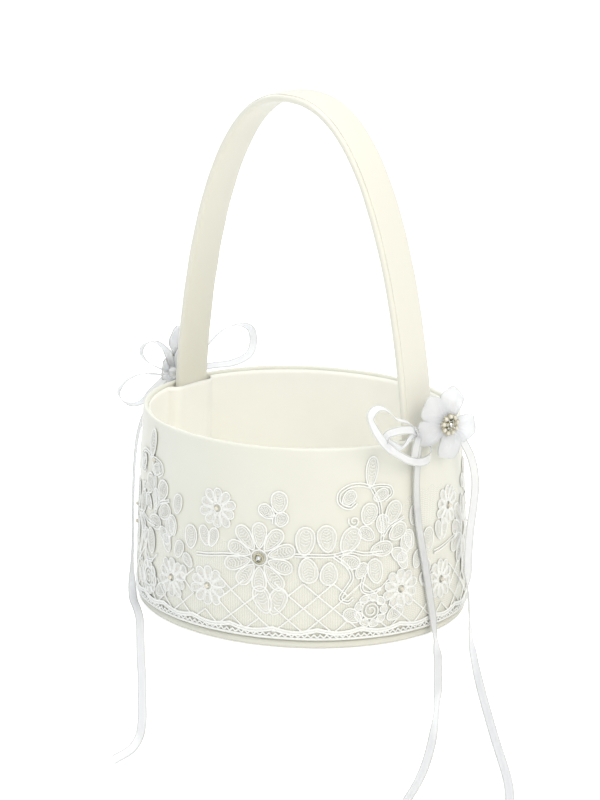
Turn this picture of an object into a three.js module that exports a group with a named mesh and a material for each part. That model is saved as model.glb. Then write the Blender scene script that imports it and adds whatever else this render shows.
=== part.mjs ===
// Flower girl basket: an oval, satin covered basket with a lace skirt, a tall padded
// arch handle, and a ribbon bow with a chiffon flower at each foot of the handle.
//
// Millimetres. The origin is the centre of the underside, on the table. +Z is up, +X runs
// along the handle's span, and +Y is the body's short way.
import * as THREE from 'three';

// Body
const BODY_HEIGHT = 120;
const RIM_HALF_LENGTH = 99.4;
const RIM_HALF_WIDTH = 89.6;
const FOOT_FLARE = 4.5;
const FLARE_POWER = 1.6;
const COVER_THICKNESS = 0.4;
const PADDING_THICKNESS = 0.6;
const BOARD_THICKNESS = 1.2;
const LINING_THICKNESS = 0.6;
const TURNED_EDGE_DEPTH = 8;
const BASE_THICKNESS = 5;
const BASE_SKIN = 0.6;
const FLOOR_PAD_THICKNESS = 4;

// Handle
const HANDLE_TOP = 310.4;
const HANDLE_SEAT_DEPTH = 42;
const HANDLE_WIDTH = 25;
const HANDLE_THICKNESS = 5.5;
const HANDLE_SIDE_POWER = 2.32;
const HANDLE_CROWN_POWER = 1.88;
const SLEEVE_THICKNESS = 0.5;
const CORE_WIDTH = 15;
const CORE_THICKNESS = 1.2;
const POCKET_MARGIN = 7;
const POCKET_SIDE_FADE = 9;
const POCKET_FOOT_FADE = 22;

// Lace
const LACE_THICKNESS = 0.4;
const LACE_LOW = 62;
const LACE_HIGH = 90;
const HEM_HEIGHT = 8.5;
const HEM_RADIUS = 0.9;
const SCALLOP_COUNT = 30;
const SCALLOP_DEPTH = 1.8;
const PEARL_RADIUS = 1.3;
const RHINESTONE_RADIUS = 3.5;

// Bows and flowers
const RIBBON_WIDTH = 5;
const LOOP_THICKNESS = 0.7;
const TAIL_THICKNESS = 0.8;
const TAIL_STEPS = 44;
const FLOWER_RADIUS = 19;
const PETAL_COUNT = 5;
const PETAL_WIDTH = 12.5;
const PETAL_INNER_RADIUS = 5.5;
const PETAL_THICKNESS = 0.6;
const PETAL_CUP = 5;
const BACKING_RADIUS = 8;
const BACKING_THICKNESS = 1.2;
const BROOCH_RADIUS = 5.5;
const BROOCH_THICKNESS = 1.6;
const STONE_RADIUS = 2.2;
const STONE_THICKNESS = 1.5;
const FLOWER_ABOVE_RIM = 8;
const FLOWER_SIDE = 7.5;
const FLOWER_TURN = -12;
const KNOT_RADIUS = 3.6;
const KNOT_SIDE = -12;
const LEFT_KNOT_SIDE = 6;
const KNOT_ABOVE_RIM = 3;
const LOOP_FOOT_GAP = 1.5;

// Fits and fineness
const CLEARANCE = 0.3;
const WALL_SEGMENTS = 60;
const WALL_ROWS = 3;
const LACE_ROWS = 2;
const ROLL_STEPS = 4;
const EDGE_STEPS = 3;
const HANDLE_STEPS = 36;

// How far each wall layer's outer face lies inside the outer cover's face.
const OVAL = RIM_HALF_WIDTH / RIM_HALF_LENGTH;
const PADDING_INSET = COVER_THICKNESS + CLEARANCE;
const BOARD_INSET = PADDING_INSET + PADDING_THICKNESS + CLEARANCE;
const TURNED_EDGE_INSET = BOARD_INSET + BOARD_THICKNESS + CLEARANCE;
const LINING_INSET = TURNED_EDGE_INSET + COVER_THICKNESS + CLEARANCE;
const LINING_FACE = LINING_INSET + LINING_THICKNESS;
const WALL_FOOT = BASE_THICKNESS + CLEARANCE;
const ROLL_RISE = (TURNED_EDGE_INSET + COVER_THICKNESS) / 2;
const BOARD_TOP = BODY_HEIGHT - ROLL_RISE;
const LINING_TOP = BODY_HEIGHT - ROLL_RISE - CLEARANCE;

const flowerHeight = BODY_HEIGHT + FLOWER_ABOVE_RIM;
const knotHeight = BODY_HEIGHT + KNOT_ABOVE_RIM;
const handleFoot = BODY_HEIGHT - HANDLE_SEAT_DEPTH;

// The handle's flat back meets the curved wall at its edges first.
const edgeDrop = RIM_HALF_LENGTH * (1 - Math.sqrt(1 - (HANDLE_WIDTH / 2 / RIM_HALF_WIDTH) ** 2));
const handleAtRim = RIM_HALF_LENGTH - LINING_INSET - edgeDrop - HANDLE_THICKNESS / 2;

const material = {
  satin: new THREE.MeshStandardMaterial({ color: 0xf3f1e6, roughness: 0.45 }),
  lining: new THREE.MeshStandardMaterial({ color: 0xf4efdd, roughness: 0.6 }),
  board: new THREE.MeshStandardMaterial({ color: 0xcdbf9f, roughness: 0.9 }),
  foam: new THREE.MeshStandardMaterial({ color: 0xf2efe6, roughness: 0.95 }),
  lace: new THREE.MeshStandardMaterial({ color: 0xf7f6ef, roughness: 0.8 }),
  ribbon: new THREE.MeshStandardMaterial({ color: 0xf8f9fb, roughness: 0.4 }),
  organza: new THREE.MeshStandardMaterial({ color: 0xf6f7fa, roughness: 0.5 }),
  felt: new THREE.MeshStandardMaterial({ color: 0xf1f0ea, roughness: 0.95 }),
  pearl: new THREE.MeshStandardMaterial({ color: 0xf4ecdc, roughness: 0.25 }),
  crystal: new THREE.MeshStandardMaterial({ color: 0xdfe4e8, roughness: 0.05 }),
  silver: new THREE.MeshStandardMaterial({ color: 0xc8c8c8, roughness: 0.25, metalness: 1 }),
};

const basket = new THREE.Group();

function addMesh(parent, name, geometry, surface) {
  const mesh = new THREE.Mesh(geometry, surface);
  mesh.name = name;
  parent.add(mesh);
  return mesh;
}

// Moves every corner of a geometry to where the function puts it.
function reshape(geometry, move) {
  const corners = geometry.attributes.position;
  const point = new THREE.Vector3();
  for (let i = 0; i < corners.count; i += 1) {
    point.fromBufferAttribute(corners, i);
    move(point);
    corners.setXYZ(i, point.x, point.y, point.z);
  }
  return geometry;
}

// The outer cover's half length at a height: the wall stands out a little towards its foot.
function wallRadius(z) {
  const share = Math.min(Math.max(z / BODY_HEIGHT, 0), 1);
  return RIM_HALF_LENGTH + FOOT_FLARE * (1 - share ** FLARE_POWER);
}

// A closed profile, counterclockwise in radius and height, turned and pressed into an oval.
function ovalLathe(profile, segments = WALL_SEGMENTS) {
  const closed = [...profile, profile[0]].map(([radius, z]) => new THREE.Vector2(radius, z));
  const geometry = new THREE.LatheGeometry(closed, segments);
  return geometry.rotateX(Math.PI / 2).scale(1, OVAL, 1);
}

// A solid of revolution that starts and ends on the axis.
function ovalDisc(profile) {
  const points = profile.map(([radius, z]) => new THREE.Vector2(radius, z));
  return new THREE.LatheGeometry(points, WALL_SEGMENTS).rotateX(Math.PI / 2).scale(1, OVAL, 1);
}

// One face of a wall layer, from one height to another.
function wallFace(inset, from, to, rows = WALL_ROWS) {
  const face = [];
  for (let row = 0; row <= rows; row += 1) {
    const z = from + ((to - from) * row) / rows;
    face.push([wallRadius(z) - inset, z]);
  }
  return face;
}

function wallLayer(inset, thickness, bottom, top, rows = WALL_ROWS) {
  const outer = wallFace(inset, bottom, top, rows);
  return [...outer, ...wallFace(inset + thickness, top, bottom, rows)];
}

function smooth(value) {
  const share = Math.min(Math.max(value, 0), 1);
  return share * share * (3 - 2 * share);
}

// ---- Body -------------------------------------------------------------------

// The outer cover goes up the wall, over the rim in a round roll, and down the inside.
function outerCoverProfile() {
  const rollHalf = (TURNED_EDGE_INSET + COVER_THICKNESS) / 2;
  const rollCentre = wallRadius(BODY_HEIGHT) - rollHalf;
  const roll = (radius, rise, from, to) => {
    const arc = [];
    for (let step = 1; step < ROLL_STEPS; step += 1) {
      const angle = from + ((to - from) * step) / ROLL_STEPS;
      arc.push([rollCentre + radius * Math.cos(angle), BOARD_TOP + rise * Math.sin(angle)]);
    }
    return arc;
  };
  const hem = BODY_HEIGHT - TURNED_EDGE_DEPTH;
  return [
    ...wallFace(0, WALL_FOOT, BOARD_TOP),
    ...roll(rollHalf, ROLL_RISE, 0, Math.PI),
    [wallRadius(BOARD_TOP) - TURNED_EDGE_INSET - COVER_THICKNESS, BOARD_TOP],
    [wallRadius(hem) - TURNED_EDGE_INSET - COVER_THICKNESS, hem],
    [wallRadius(hem) - TURNED_EDGE_INSET, hem],
    [wallRadius(BOARD_TOP) - TURNED_EDGE_INSET, BOARD_TOP],
    ...roll(rollHalf - COVER_THICKNESS, ROLL_RISE - COVER_THICKNESS, Math.PI, 0),
    ...wallFace(COVER_THICKNESS, BOARD_TOP, WALL_FOOT),
  ];
}
addMesh(basket, 'outer_cover', ovalLathe(outerCoverProfile()), material.satin);

const paddingProfile = wallLayer(PADDING_INSET, PADDING_THICKNESS, WALL_FOOT, BOARD_TOP);
addMesh(basket, 'wall_padding', ovalLathe(paddingProfile), material.foam);

const boardProfile = wallLayer(BOARD_INSET, BOARD_THICKNESS, WALL_FOOT, BOARD_TOP);
addMesh(basket, 'side_board', ovalLathe(boardProfile), material.board);

// ---- Handle curve -----------------------------------------------------------

// A flat topped arch whose feet run down inside the wall. Its half span follows from where
// its centre line has to pass the rim.
class HandleArch extends THREE.Curve {
  constructor() {
    super();
    this.rise = HANDLE_TOP - HANDLE_THICKNESS / 2 - handleFoot;
    const sineAtRim = ((BODY_HEIGHT - handleFoot) / this.rise) ** (HANDLE_CROWN_POWER / 2);
    const cosineAtRim = Math.sqrt(1 - sineAtRim ** 2);
    this.halfSpan = handleAtRim / cosineAtRim ** (2 / HANDLE_SIDE_POWER);
  }

  halfWidthAt(z) {
    const share = Math.min(Math.max((z - handleFoot) / this.rise, 0), 1);
    const cosine = Math.sqrt(1 - share ** HANDLE_CROWN_POWER);
    return this.halfSpan * cosine ** (2 / HANDLE_SIDE_POWER);
  }

  getPoint(share, target = new THREE.Vector3()) {
    const angle = Math.PI * share;
    const across = Math.abs(Math.cos(angle)) ** (2 / HANDLE_SIDE_POWER);
    const height = Math.abs(Math.sin(angle)) ** (2 / HANDLE_CROWN_POWER);
    const x = Math.sign(Math.cos(angle)) * this.halfSpan * across;
    return target.set(x, 0, handleFoot + this.rise * height);
  }
}
const arch = new HandleArch();

// ---- Lining, base and floor -------------------------------------------------

// The lining bulges inwards over each foot of the handle.
function pocketDepth(y, z) {
  const footFace = arch.halfWidthAt(z) - HANDLE_THICKNESS / 2 - CLEARANCE;
  const depth = wallRadius(z) - LINING_INSET - footFace;
  const side = (Math.abs(y) - HANDLE_WIDTH / 2 - POCKET_MARGIN) / POCKET_SIDE_FADE;
  const foot = (handleFoot - CLEARANCE - z) / POCKET_FOOT_FADE;
  return Math.max(depth, 0) * (1 - smooth(side)) * (1 - smooth(foot));
}

function liningProfile() {
  const heights = [WALL_FOOT, handleFoot - POCKET_FOOT_FADE, handleFoot - CLEARANCE,
    (handleFoot + LINING_TOP) / 2, LINING_TOP];
  const outer = heights.map((z) => [wallRadius(z) - LINING_INSET, z]);
  const inner = heights.map((z) => [wallRadius(z) - LINING_FACE, z]).reverse();
  return [...outer, ...inner];
}
const lining = reshape(ovalLathe(liningProfile()), (point) => {
  point.x -= Math.sign(point.x) * pocketDepth(point.y, point.z);
});
addMesh(basket, 'lining', lining, material.lining);

// The base is a stiff oval board wrapped in satin, with a soft round edge.
const edgeRadius = BASE_THICKNESS / 2;
const edgeCentre = wallRadius(0) - edgeRadius;
const wrapLip = wallRadius(0) - 8;
function roundEdge(radius, from, to) {
  const arc = [];
  for (let step = 0; step <= EDGE_STEPS; step += 1) {
    const angle = from + ((to - from) * step) / EDGE_STEPS;
    arc.push([edgeCentre + radius * Math.cos(angle), edgeRadius + radius * Math.sin(angle)]);
  }
  return arc;
}
const baseCover = ovalDisc([
  [0, 0],
  ...roundEdge(edgeRadius, -Math.PI / 2, Math.PI / 2),
  [wrapLip, BASE_THICKNESS],
  [wrapLip, BASE_THICKNESS - BASE_SKIN],
  ...roundEdge(edgeRadius - BASE_SKIN, Math.PI / 2, -Math.PI / 2),
  [0, BASE_SKIN],
]);
addMesh(basket, 'base_cover', baseCover, material.satin);

const baseBoard = ovalDisc([
  [0, BASE_SKIN + CLEARANCE],
  ...roundEdge(edgeRadius - BASE_SKIN - CLEARANCE, -Math.PI / 2, Math.PI / 2),
  [0, BASE_THICKNESS - BASE_SKIN - CLEARANCE],
]);
addMesh(basket, 'base_board', baseBoard, material.board);

const padRadius = wallRadius(WALL_FOOT + FLOOR_PAD_THICKNESS) - LINING_FACE - CLEARANCE;
const padTop = WALL_FOOT + FLOOR_PAD_THICKNESS;
const floorPad = ovalDisc([
  [0, WALL_FOOT],
  [padRadius, WALL_FOOT],
  [padRadius, padTop - 1.5],
  [padRadius - 2, padTop],
  [0, padTop],
]);
addMesh(basket, 'floor_pad', floorPad, material.lining);

// ---- Handle -----------------------------------------------------------------

// A rectangle with quarter-round corners.
function addRoundedOutline(path, width, thickness, radius) {
  const x = width / 2;
  const y = thickness / 2;
  path.moveTo(-x + radius, -y);
  path.lineTo(x - radius, -y);
  path.absarc(x - radius, -y + radius, radius, -Math.PI / 2, 0);
  path.lineTo(x, y - radius);
  path.absarc(x - radius, y - radius, radius, 0, Math.PI / 2);
  path.lineTo(-x + radius, y);
  path.absarc(-x + radius, y - radius, radius, Math.PI / 2, Math.PI);
  path.lineTo(-x, -y + radius);
  path.absarc(-x + radius, -y + radius, radius, Math.PI, Math.PI * 1.5);
  return path;
}

function alongArch(shape) {
  const options = { steps: HANDLE_STEPS, extrudePath: arch, curveSegments: 1 };
  return new THREE.ExtrudeGeometry(shape, options);
}

// One sleeve of the handle: an outline with the space for the next layer in it.
function handleSleeve(inset, thickness) {
  const width = HANDLE_WIDTH - 2 * inset;
  const height = HANDLE_THICKNESS - 2 * inset;
  const corner = Math.min(2, height / 2 - 0.05);
  const shape = addRoundedOutline(new THREE.Shape(), width, height, corner);
  const hollowHeight = height - 2 * thickness;
  const hollowCorner = Math.min(1.5, hollowHeight / 2 - 0.05);
  const hollow = new THREE.Path();
  addRoundedOutline(hollow, width - 2 * thickness, hollowHeight, hollowCorner);
  shape.holes.push(hollow);
  return alongArch(shape);
}
addMesh(basket, 'handle_cover', handleSleeve(0, SLEEVE_THICKNESS), material.satin);

const handlePaddingInset = SLEEVE_THICKNESS + CLEARANCE;
const paddingWidth = HANDLE_WIDTH - 2 * handlePaddingInset;
const paddingHeight = HANDLE_THICKNESS - 2 * handlePaddingInset;
const paddingCorner = Math.min(1.6, paddingHeight / 2 - 0.05);
const paddingShape = addRoundedOutline(new THREE.Shape(), paddingWidth, paddingHeight, paddingCorner);
const coreSlot = new THREE.Path();
const slotWidth = CORE_WIDTH + 2 * CLEARANCE;
const slotHeight = CORE_THICKNESS + 2 * CLEARANCE;
coreSlot.moveTo(-slotWidth / 2, -slotHeight / 2);
coreSlot.lineTo(slotWidth / 2, -slotHeight / 2);
coreSlot.lineTo(slotWidth / 2, slotHeight / 2);
coreSlot.lineTo(-slotWidth / 2, slotHeight / 2);
coreSlot.closePath();
paddingShape.holes.push(coreSlot);
addMesh(basket, 'handle_padding', alongArch(paddingShape), material.foam);

const coreShape = new THREE.Shape();
coreShape.moveTo(-CORE_WIDTH / 2, -CORE_THICKNESS / 2);
coreShape.lineTo(CORE_WIDTH / 2, -CORE_THICKNESS / 2);
coreShape.lineTo(CORE_WIDTH / 2, CORE_THICKNESS / 2);
coreShape.lineTo(-CORE_WIDTH / 2, CORE_THICKNESS / 2);
coreShape.closePath();
addMesh(basket, 'handle_core', alongArch(coreShape), material.board);

// ---- Lace -------------------------------------------------------------------

const laceBottom = HEM_HEIGHT + HEM_RADIUS + SCALLOP_DEPTH + CLEARANCE;

// The lace climbs towards both feet of the handle.
function laceTop(angle) {
  return LACE_LOW + (LACE_HIGH - LACE_LOW) * Math.abs(Math.cos(angle)) ** 8;
}

const laceInset = -CLEARANCE - LACE_THICKNESS;
const laceProfile = wallLayer(laceInset, LACE_THICKNESS, laceBottom, LACE_LOW, LACE_ROWS);
const lacePanel = reshape(ovalLathe(laceProfile), (point) => {
  const angle = Math.atan2(point.y / OVAL, point.x);
  const share = (point.z - laceBottom) / (LACE_LOW - laceBottom);
  const z = laceBottom + share * (laceTop(angle) - laceBottom);
  const radius = Math.hypot(point.x, point.y / OVAL);
  const stretch = (radius + wallRadius(z) - wallRadius(point.z)) / radius;
  point.set(point.x * stretch, point.y * stretch, z);
});
addMesh(basket, 'lace_panel', lacePanel, material.lace);

const hemRing = wallRadius(HEM_HEIGHT) + CLEARANCE + HEM_RADIUS;
const laceHem = new THREE.TorusGeometry(hemRing, HEM_RADIUS, 3, SCALLOP_COUNT * 4);
reshape(laceHem.scale(1, OVAL, 1), (point) => {
  const angle = Math.atan2(point.y / OVAL, point.x);
  point.z += HEM_HEIGHT - SCALLOP_DEPTH * Math.abs(Math.cos((angle * SCALLOP_COUNT) / 2));
});
addMesh(basket, 'lace_hem', laceHem, material.lace);

// A spot on the lace, turned so that its own +Z leaves the wall.
function onWall(degrees, z, standOff) {
  const angle = THREE.MathUtils.degToRad(degrees);
  const radius = wallRadius(z) + CLEARANCE + LACE_THICKNESS + CLEARANCE + standOff;
  const spot = new THREE.Group();
  spot.position.set(radius * Math.cos(angle), radius * OVAL * Math.sin(angle), z);
  const facing = Math.atan2(Math.sin(angle) / OVAL, Math.cos(angle));
  spot.rotation.set(0, Math.PI / 2, facing, 'ZYX');
  basket.add(spot);
  return spot;
}

// Rhinestones at the heart of the large lace flower, on each long side.
const rhinestoneOutline = [[0, 0], [RHINESTONE_RADIUS, 0], [RHINESTONE_RADIUS, 0.5],
  [RHINESTONE_RADIUS * 0.55, 1.6], [0, 1.6]];
for (const [name, degrees] of [['front', -64.6], ['back', 115.4]]) {
  const points = rhinestoneOutline.map(([radius, z]) => new THREE.Vector2(radius, z));
  const stone = new THREE.LatheGeometry(points, 10).rotateX(Math.PI / 2);
  addMesh(onWall(degrees, 53.8, 0.1), `lace_rhinestone_${name}`, stone, material.crystal);
}

// Pearls at the hearts of the small lace flowers, the same on both long sides.
const pearlSpots = [[-80.2, 80], [-83.7, 32], [-100.5, 30], [-14.6, 33], [11.1, 74.7], [5.1, 32]];
pearlSpots.forEach(([degrees, z], index) => {
  for (const [side, turn] of [['front', 0], ['back', 180]]) {
    const pearl = new THREE.SphereGeometry(PEARL_RADIUS, 6, 4);
    const spot = onWall(degrees + turn, z, PEARL_RADIUS);
    addMesh(spot, `lace_pearl_${side}_${index + 1}`, pearl, material.pearl);
  }
});

// ---- Bows and flowers -------------------------------------------------------

// A petal lies in the flower's own plane, widest past its middle, and cups forwards.
function petalGeometry() {
  const half = PETAL_WIDTH / 2;
  const length = FLOWER_RADIUS - PETAL_INNER_RADIUS;
  const outline = new THREE.Shape();
  outline.moveTo(PETAL_INNER_RADIUS, -half * 0.3);
  outline.bezierCurveTo(PETAL_INNER_RADIUS + length * 0.35, -half * 1.15,
    FLOWER_RADIUS, -half * 1.3, FLOWER_RADIUS, 0);
  outline.bezierCurveTo(FLOWER_RADIUS, half * 1.3,
    PETAL_INNER_RADIUS + length * 0.35, half * 1.15, PETAL_INNER_RADIUS, half * 0.3);
  outline.closePath();
  const options = { depth: PETAL_THICKNESS, bevelEnabled: false, curveSegments: 4 };
  return reshape(new THREE.ExtrudeGeometry(outline, options), (point) => {
    const reach = (Math.hypot(point.x, point.y) - PETAL_INNER_RADIUS) / length;
    point.z += PETAL_CUP * Math.max(reach, 0) ** 2;
  });
}

// A flat loop of ribbon, seen from its side, that leaves the knot along its own +X.
function loopGeometry(length, halfHeight) {
  const foot = KNOT_RADIUS + LOOP_FOOT_GAP;
  const outline = (path, grow) => {
    const near = halfHeight * 0.35 + grow;
    const far = halfHeight * 1.9 + grow;
    const tip = length + grow;
    path.moveTo(foot - grow, 0);
    path.bezierCurveTo(length * 0.45, -near, tip, -far, tip, 0);
    path.bezierCurveTo(tip, far, length * 0.45, near, foot - grow, 0);
    return path;
  };
  const shape = outline(new THREE.Shape(), LOOP_THICKNESS / 2);
  shape.holes.push(outline(new THREE.Path(), -LOOP_THICKNESS / 2));
  const options = { depth: RIBBON_WIDTH, bevelEnabled: false, curveSegments: 6 };
  return new THREE.ExtrudeGeometry(shape, options);
}

// One ornament stands on the outside of the wall, at one foot of the handle. Its own frame
// is the basket's, for the side at +X. The flower and the knot stand off the handle's middle,
// one to each side of it.
function addOrnament(side, loops, turn, flowerSide, knotSide) {
  const ornament = new THREE.Group();
  ornament.rotation.z = turn;
  basket.add(ornament);

  const wallFaceAt = wallRadius(knotHeight) + CLEARANCE;
  const flowerTurn = THREE.MathUtils.degToRad(FLOWER_TURN) * Math.sign(flowerSide);
  const turnRoom = BACKING_RADIUS * Math.abs(Math.sin(flowerTurn));
  const flowerAt = wallFaceAt + RIBBON_WIDTH + 2 * CLEARANCE + turnRoom;
  const flower = new THREE.Group();
  flower.position.set(flowerAt, flowerSide, flowerHeight);
  flower.rotation.set(0, Math.PI / 2, flowerTurn, 'ZYX');
  ornament.add(flower);

  const backing = new THREE.CylinderGeometry(BACKING_RADIUS, BACKING_RADIUS, BACKING_THICKNESS, 12);
  backing.rotateX(Math.PI / 2).translate(0, 0, BACKING_THICKNESS / 2);
  addMesh(flower, `${side}_flower_backing`, backing, material.felt);

  const petalFoot = BACKING_THICKNESS + CLEARANCE;
  for (let index = 0; index < PETAL_COUNT; index += 1) {
    const petal = petalGeometry().translate(0, 0, petalFoot);
    const mesh = addMesh(flower, `${side}_petal_${index + 1}`, petal, material.organza);
    mesh.rotation.z = Math.PI + (index * 2 * Math.PI) / PETAL_COUNT;
  }

  const brooch = new THREE.CylinderGeometry(BROOCH_RADIUS * 0.8, BROOCH_RADIUS, BROOCH_THICKNESS, 12);
  const broochFoot = petalFoot + PETAL_THICKNESS + CLEARANCE;
  brooch.rotateX(Math.PI / 2).translate(0, 0, broochFoot + BROOCH_THICKNESS / 2);
  addMesh(flower, `${side}_brooch`, brooch, material.silver);

  const stone = new THREE.CylinderGeometry(STONE_RADIUS * 0.6, STONE_RADIUS, STONE_THICKNESS, 8);
  const stoneFoot = broochFoot + BROOCH_THICKNESS + CLEARANCE;
  stone.rotateX(Math.PI / 2).translate(0, 0, stoneFoot + STONE_THICKNESS / 2);
  addMesh(flower, `${side}_brooch_stone`, stone, material.crystal);

  const bow = new THREE.Group();
  bow.position.set(wallFaceAt, knotSide, knotHeight);
  ornament.add(bow);
  const knot = new THREE.SphereGeometry(KNOT_RADIUS, 8, 6).scale(0.7, 1, 1);
  knot.translate(KNOT_RADIUS * 0.7, 0, 0);
  addMesh(bow, `${side}_bow_knot`, knot, material.ribbon);

  loops.forEach(([degrees, length, halfHeight], index) => {
    const loop = loopGeometry(length, halfHeight);
    const mesh = addMesh(bow, `${side}_bow_loop_${index + 1}`, loop, material.ribbon);
    mesh.rotation.set(Math.PI / 2, 0, Math.PI / 2, 'ZYX');
    mesh.rotateZ(THREE.MathUtils.degToRad(degrees));
  });
}

// Each loop: its direction from the knot, its length, and half its height.
addOrnament('right', [[152, 53, 13], [192, 36, 6], [20, 44, 9]], 0, FLOWER_SIDE, KNOT_SIDE);
addOrnament('left', [[46, 26, 6], [0, 38, 7], [172, 82, 9]], Math.PI, -FLOWER_SIDE, LEFT_KNOT_SIDE);

// ---- Ribbon tails -----------------------------------------------------------

// A tail hangs flat against the wall, meets the table and lies flat on it. The facing is the
// way its face looks while it hangs.
function tailGeometry(route, facing) {
  const curve = new THREE.CatmullRomCurve3(route.map((point) => new THREE.Vector3(...point)));
  const hanging = new THREE.Vector3(...facing).normalize();
  const up = new THREE.Vector3(0, 0, 1);
  const strip = new THREE.BoxGeometry(1, RIBBON_WIDTH, TAIL_THICKNESS, TAIL_STEPS, 1, 1);
  return reshape(strip, (point) => {
    const share = Math.min(Math.max(point.x + 0.5, 0), 1);
    const along = curve.getTangentAt(share);
    const level = 1 - Math.abs(along.z);
    const face = hanging.clone().multiplyScalar(1 - level).addScaledVector(up, level);
    const across = new THREE.Vector3().crossVectors(face, along).normalize();
    const out = new THREE.Vector3().crossVectors(along, across);
    const offsets = across.multiplyScalar(point.y).addScaledVector(out, point.z);
    point.copy(curve.getPointAt(share)).add(offsets);
  });
}

const tails = {
  tail_right_front: {
    facing: [1, 0, 0],
    route: [[103.4, -12, 117], [102.8, -12.5, 103], [103, -13, 88], [103.6, -12, 73],
      [104.4, -10.2, 60], [105, -8, 48], [105.8, -5.8, 35], [106.4, -3.6, 22], [107.4, -2.4, 11],
      [110.5, -4.5, 3], [116, -9.8, 0.9], [127, -21.5, 0.8], [138.5, -34, 0.8], [160.5, -59.5, 0.8],
      [182, -85, 0.8], [202, -110, 0.8], [221, -135, 0.8], [238.5, -159.5, 0.8],
      [254.5, -184.5, 0.8], [268.5, -210, 0.8], [280, -232, 0.8], [291, -255, 0.8]],
  },
  tail_right_rear: {
    facing: [1, 0, 0],
    route: [[103.5, 21, 119], [105.5, 26, 112], [107, 30.5, 103], [107.5, 33.5, 93],
      [107.5, 34.5, 83], [107.2, 33.3, 71], [107, 31, 57], [107, 29.5, 40], [106.8, 30, 24],
      [106.6, 31, 12], [109, 29, 3.5], [114, 24, 1], [130, 5.5, 0.8], [154, -20, 0.8],
      [177.5, -44, 0.8], [201, -67.5, 0.8], [224, -90, 0.8], [246, -111.5, 0.8],
      [268, -132.5, 0.8], [289, -153, 0.8], [308, -174, 0.8], [322, -193, 0.8]],
  },
  tail_left_front: {
    facing: [0.9, 0.35, 0],
    route: [[-103.6, 4, 117], [-104.6, -11, 112], [-104, -26, 104], [-102.4, -36, 91],
      [-99.6, -42.5, 72], [-97, -46.5, 50], [-93, -51, 30], [-87, -58, 14], [-78, -67, 4],
      [-68, -76, 1], [-55, -86, 0.8], [-38, -100.5, 0.8], [-12.5, -125.5, 0.8],
      [12.5, -150, 0.8], [37, -173.5, 0.8], [60.5, -197, 0.8], [83, -219.5, 0.8],
      [102, -241, 0.8], [113, -258, 0.8], [118.5, -277, 0.8]],
  },
};
for (const [name, { route, facing }] of Object.entries(tails)) {
  addMesh(basket, name, tailGeometry(route, facing), material.ribbon);
}

export default basket;
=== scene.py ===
import math

import bpy
from mathutils import Matrix, Vector, noise


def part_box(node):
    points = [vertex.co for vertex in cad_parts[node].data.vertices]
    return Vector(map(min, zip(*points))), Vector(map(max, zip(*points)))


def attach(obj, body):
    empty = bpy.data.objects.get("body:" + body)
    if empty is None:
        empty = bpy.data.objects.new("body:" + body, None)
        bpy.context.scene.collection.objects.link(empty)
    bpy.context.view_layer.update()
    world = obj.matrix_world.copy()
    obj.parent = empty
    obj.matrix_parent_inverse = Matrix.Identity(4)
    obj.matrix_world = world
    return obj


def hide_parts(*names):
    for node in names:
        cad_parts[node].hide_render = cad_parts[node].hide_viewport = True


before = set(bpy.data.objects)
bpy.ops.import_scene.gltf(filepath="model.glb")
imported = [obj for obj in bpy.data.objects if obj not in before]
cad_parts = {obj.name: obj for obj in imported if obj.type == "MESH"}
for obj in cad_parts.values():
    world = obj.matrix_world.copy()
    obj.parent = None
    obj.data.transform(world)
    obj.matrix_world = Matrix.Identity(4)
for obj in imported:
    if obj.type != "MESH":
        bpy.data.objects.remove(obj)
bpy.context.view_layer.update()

# ---- Camera -----------------------------------------------------------------
# A long lens, a little above the rim, that looks along the basket's right front corner.
camera_data = bpy.data.cameras.new("camera")
camera_data.lens = 168.5
camera_data.sensor_width = 36
camera_data.shift_x = -0.0016
camera_data.shift_y = -0.0134
camera_data.clip_end = 20
camera = bpy.data.objects.new("camera", camera_data)
bpy.context.scene.collection.objects.link(camera)
AIM_HEIGHT = 0.13
CAMERA_DISTANCE = 2.2394
azimuth = math.radians(42.66)
elevation = math.radians(15.36)
toward_camera = Vector((
    math.sin(azimuth) * math.cos(elevation),
    -math.cos(azimuth) * math.cos(elevation),
    math.sin(elevation)))
camera.location = Vector((0, 0, AIM_HEIGHT)) + toward_camera * CAMERA_DISTANCE
camera.rotation_euler = toward_camera.to_track_quat("Z", "Y").to_euler()
bpy.context.scene.camera = camera

# ---- Floor and light --------------------------------------------------------
# A white table top without an edge, and the soft, bright light of a white studio tent. The
# table glows more to the camera than it lights the basket, so that it stays white far off.
FLOOR_GLOW_AS_LIGHT = 0.12
FLOOR_GLOW_TO_CAMERA = 0.6
bpy.context.scene.view_settings.view_transform = "Standard"
bpy.ops.object.select_all(action="DESELECT")
bpy.ops.mesh.primitive_plane_add(size=30, location=(0, 0, -0.0004))
floor = bpy.context.object
floor.name = "floor"
floor_material = bpy.data.materials.new("white table")
floor_material.use_nodes = True
floor_shader = floor_material.node_tree.nodes["Principled BSDF"]
floor_shader.inputs["Base Color"].default_value = (0.9, 0.9, 0.9, 1)
floor_shader.inputs["Roughness"].default_value = 0.9
floor_shader.inputs["Specular IOR Level"].default_value = 0.1
floor_shader.inputs["Emission Color"].default_value = (1, 1, 1, 1)
floor_seen = floor_material.node_tree.nodes.new("ShaderNodeLightPath")
floor_glow = floor_material.node_tree.nodes.new("ShaderNodeMapRange")
floor_glow.inputs["To Min"].default_value = FLOOR_GLOW_AS_LIGHT
floor_glow.inputs["To Max"].default_value = FLOOR_GLOW_TO_CAMERA
floor_material.node_tree.links.new(floor_seen.outputs["Is Camera Ray"],
                                   floor_glow.inputs["Value"])
floor_material.node_tree.links.new(floor_glow.outputs["Result"],
                                   floor_shader.inputs["Emission Strength"])
floor.data.materials.append(floor_material)

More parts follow.
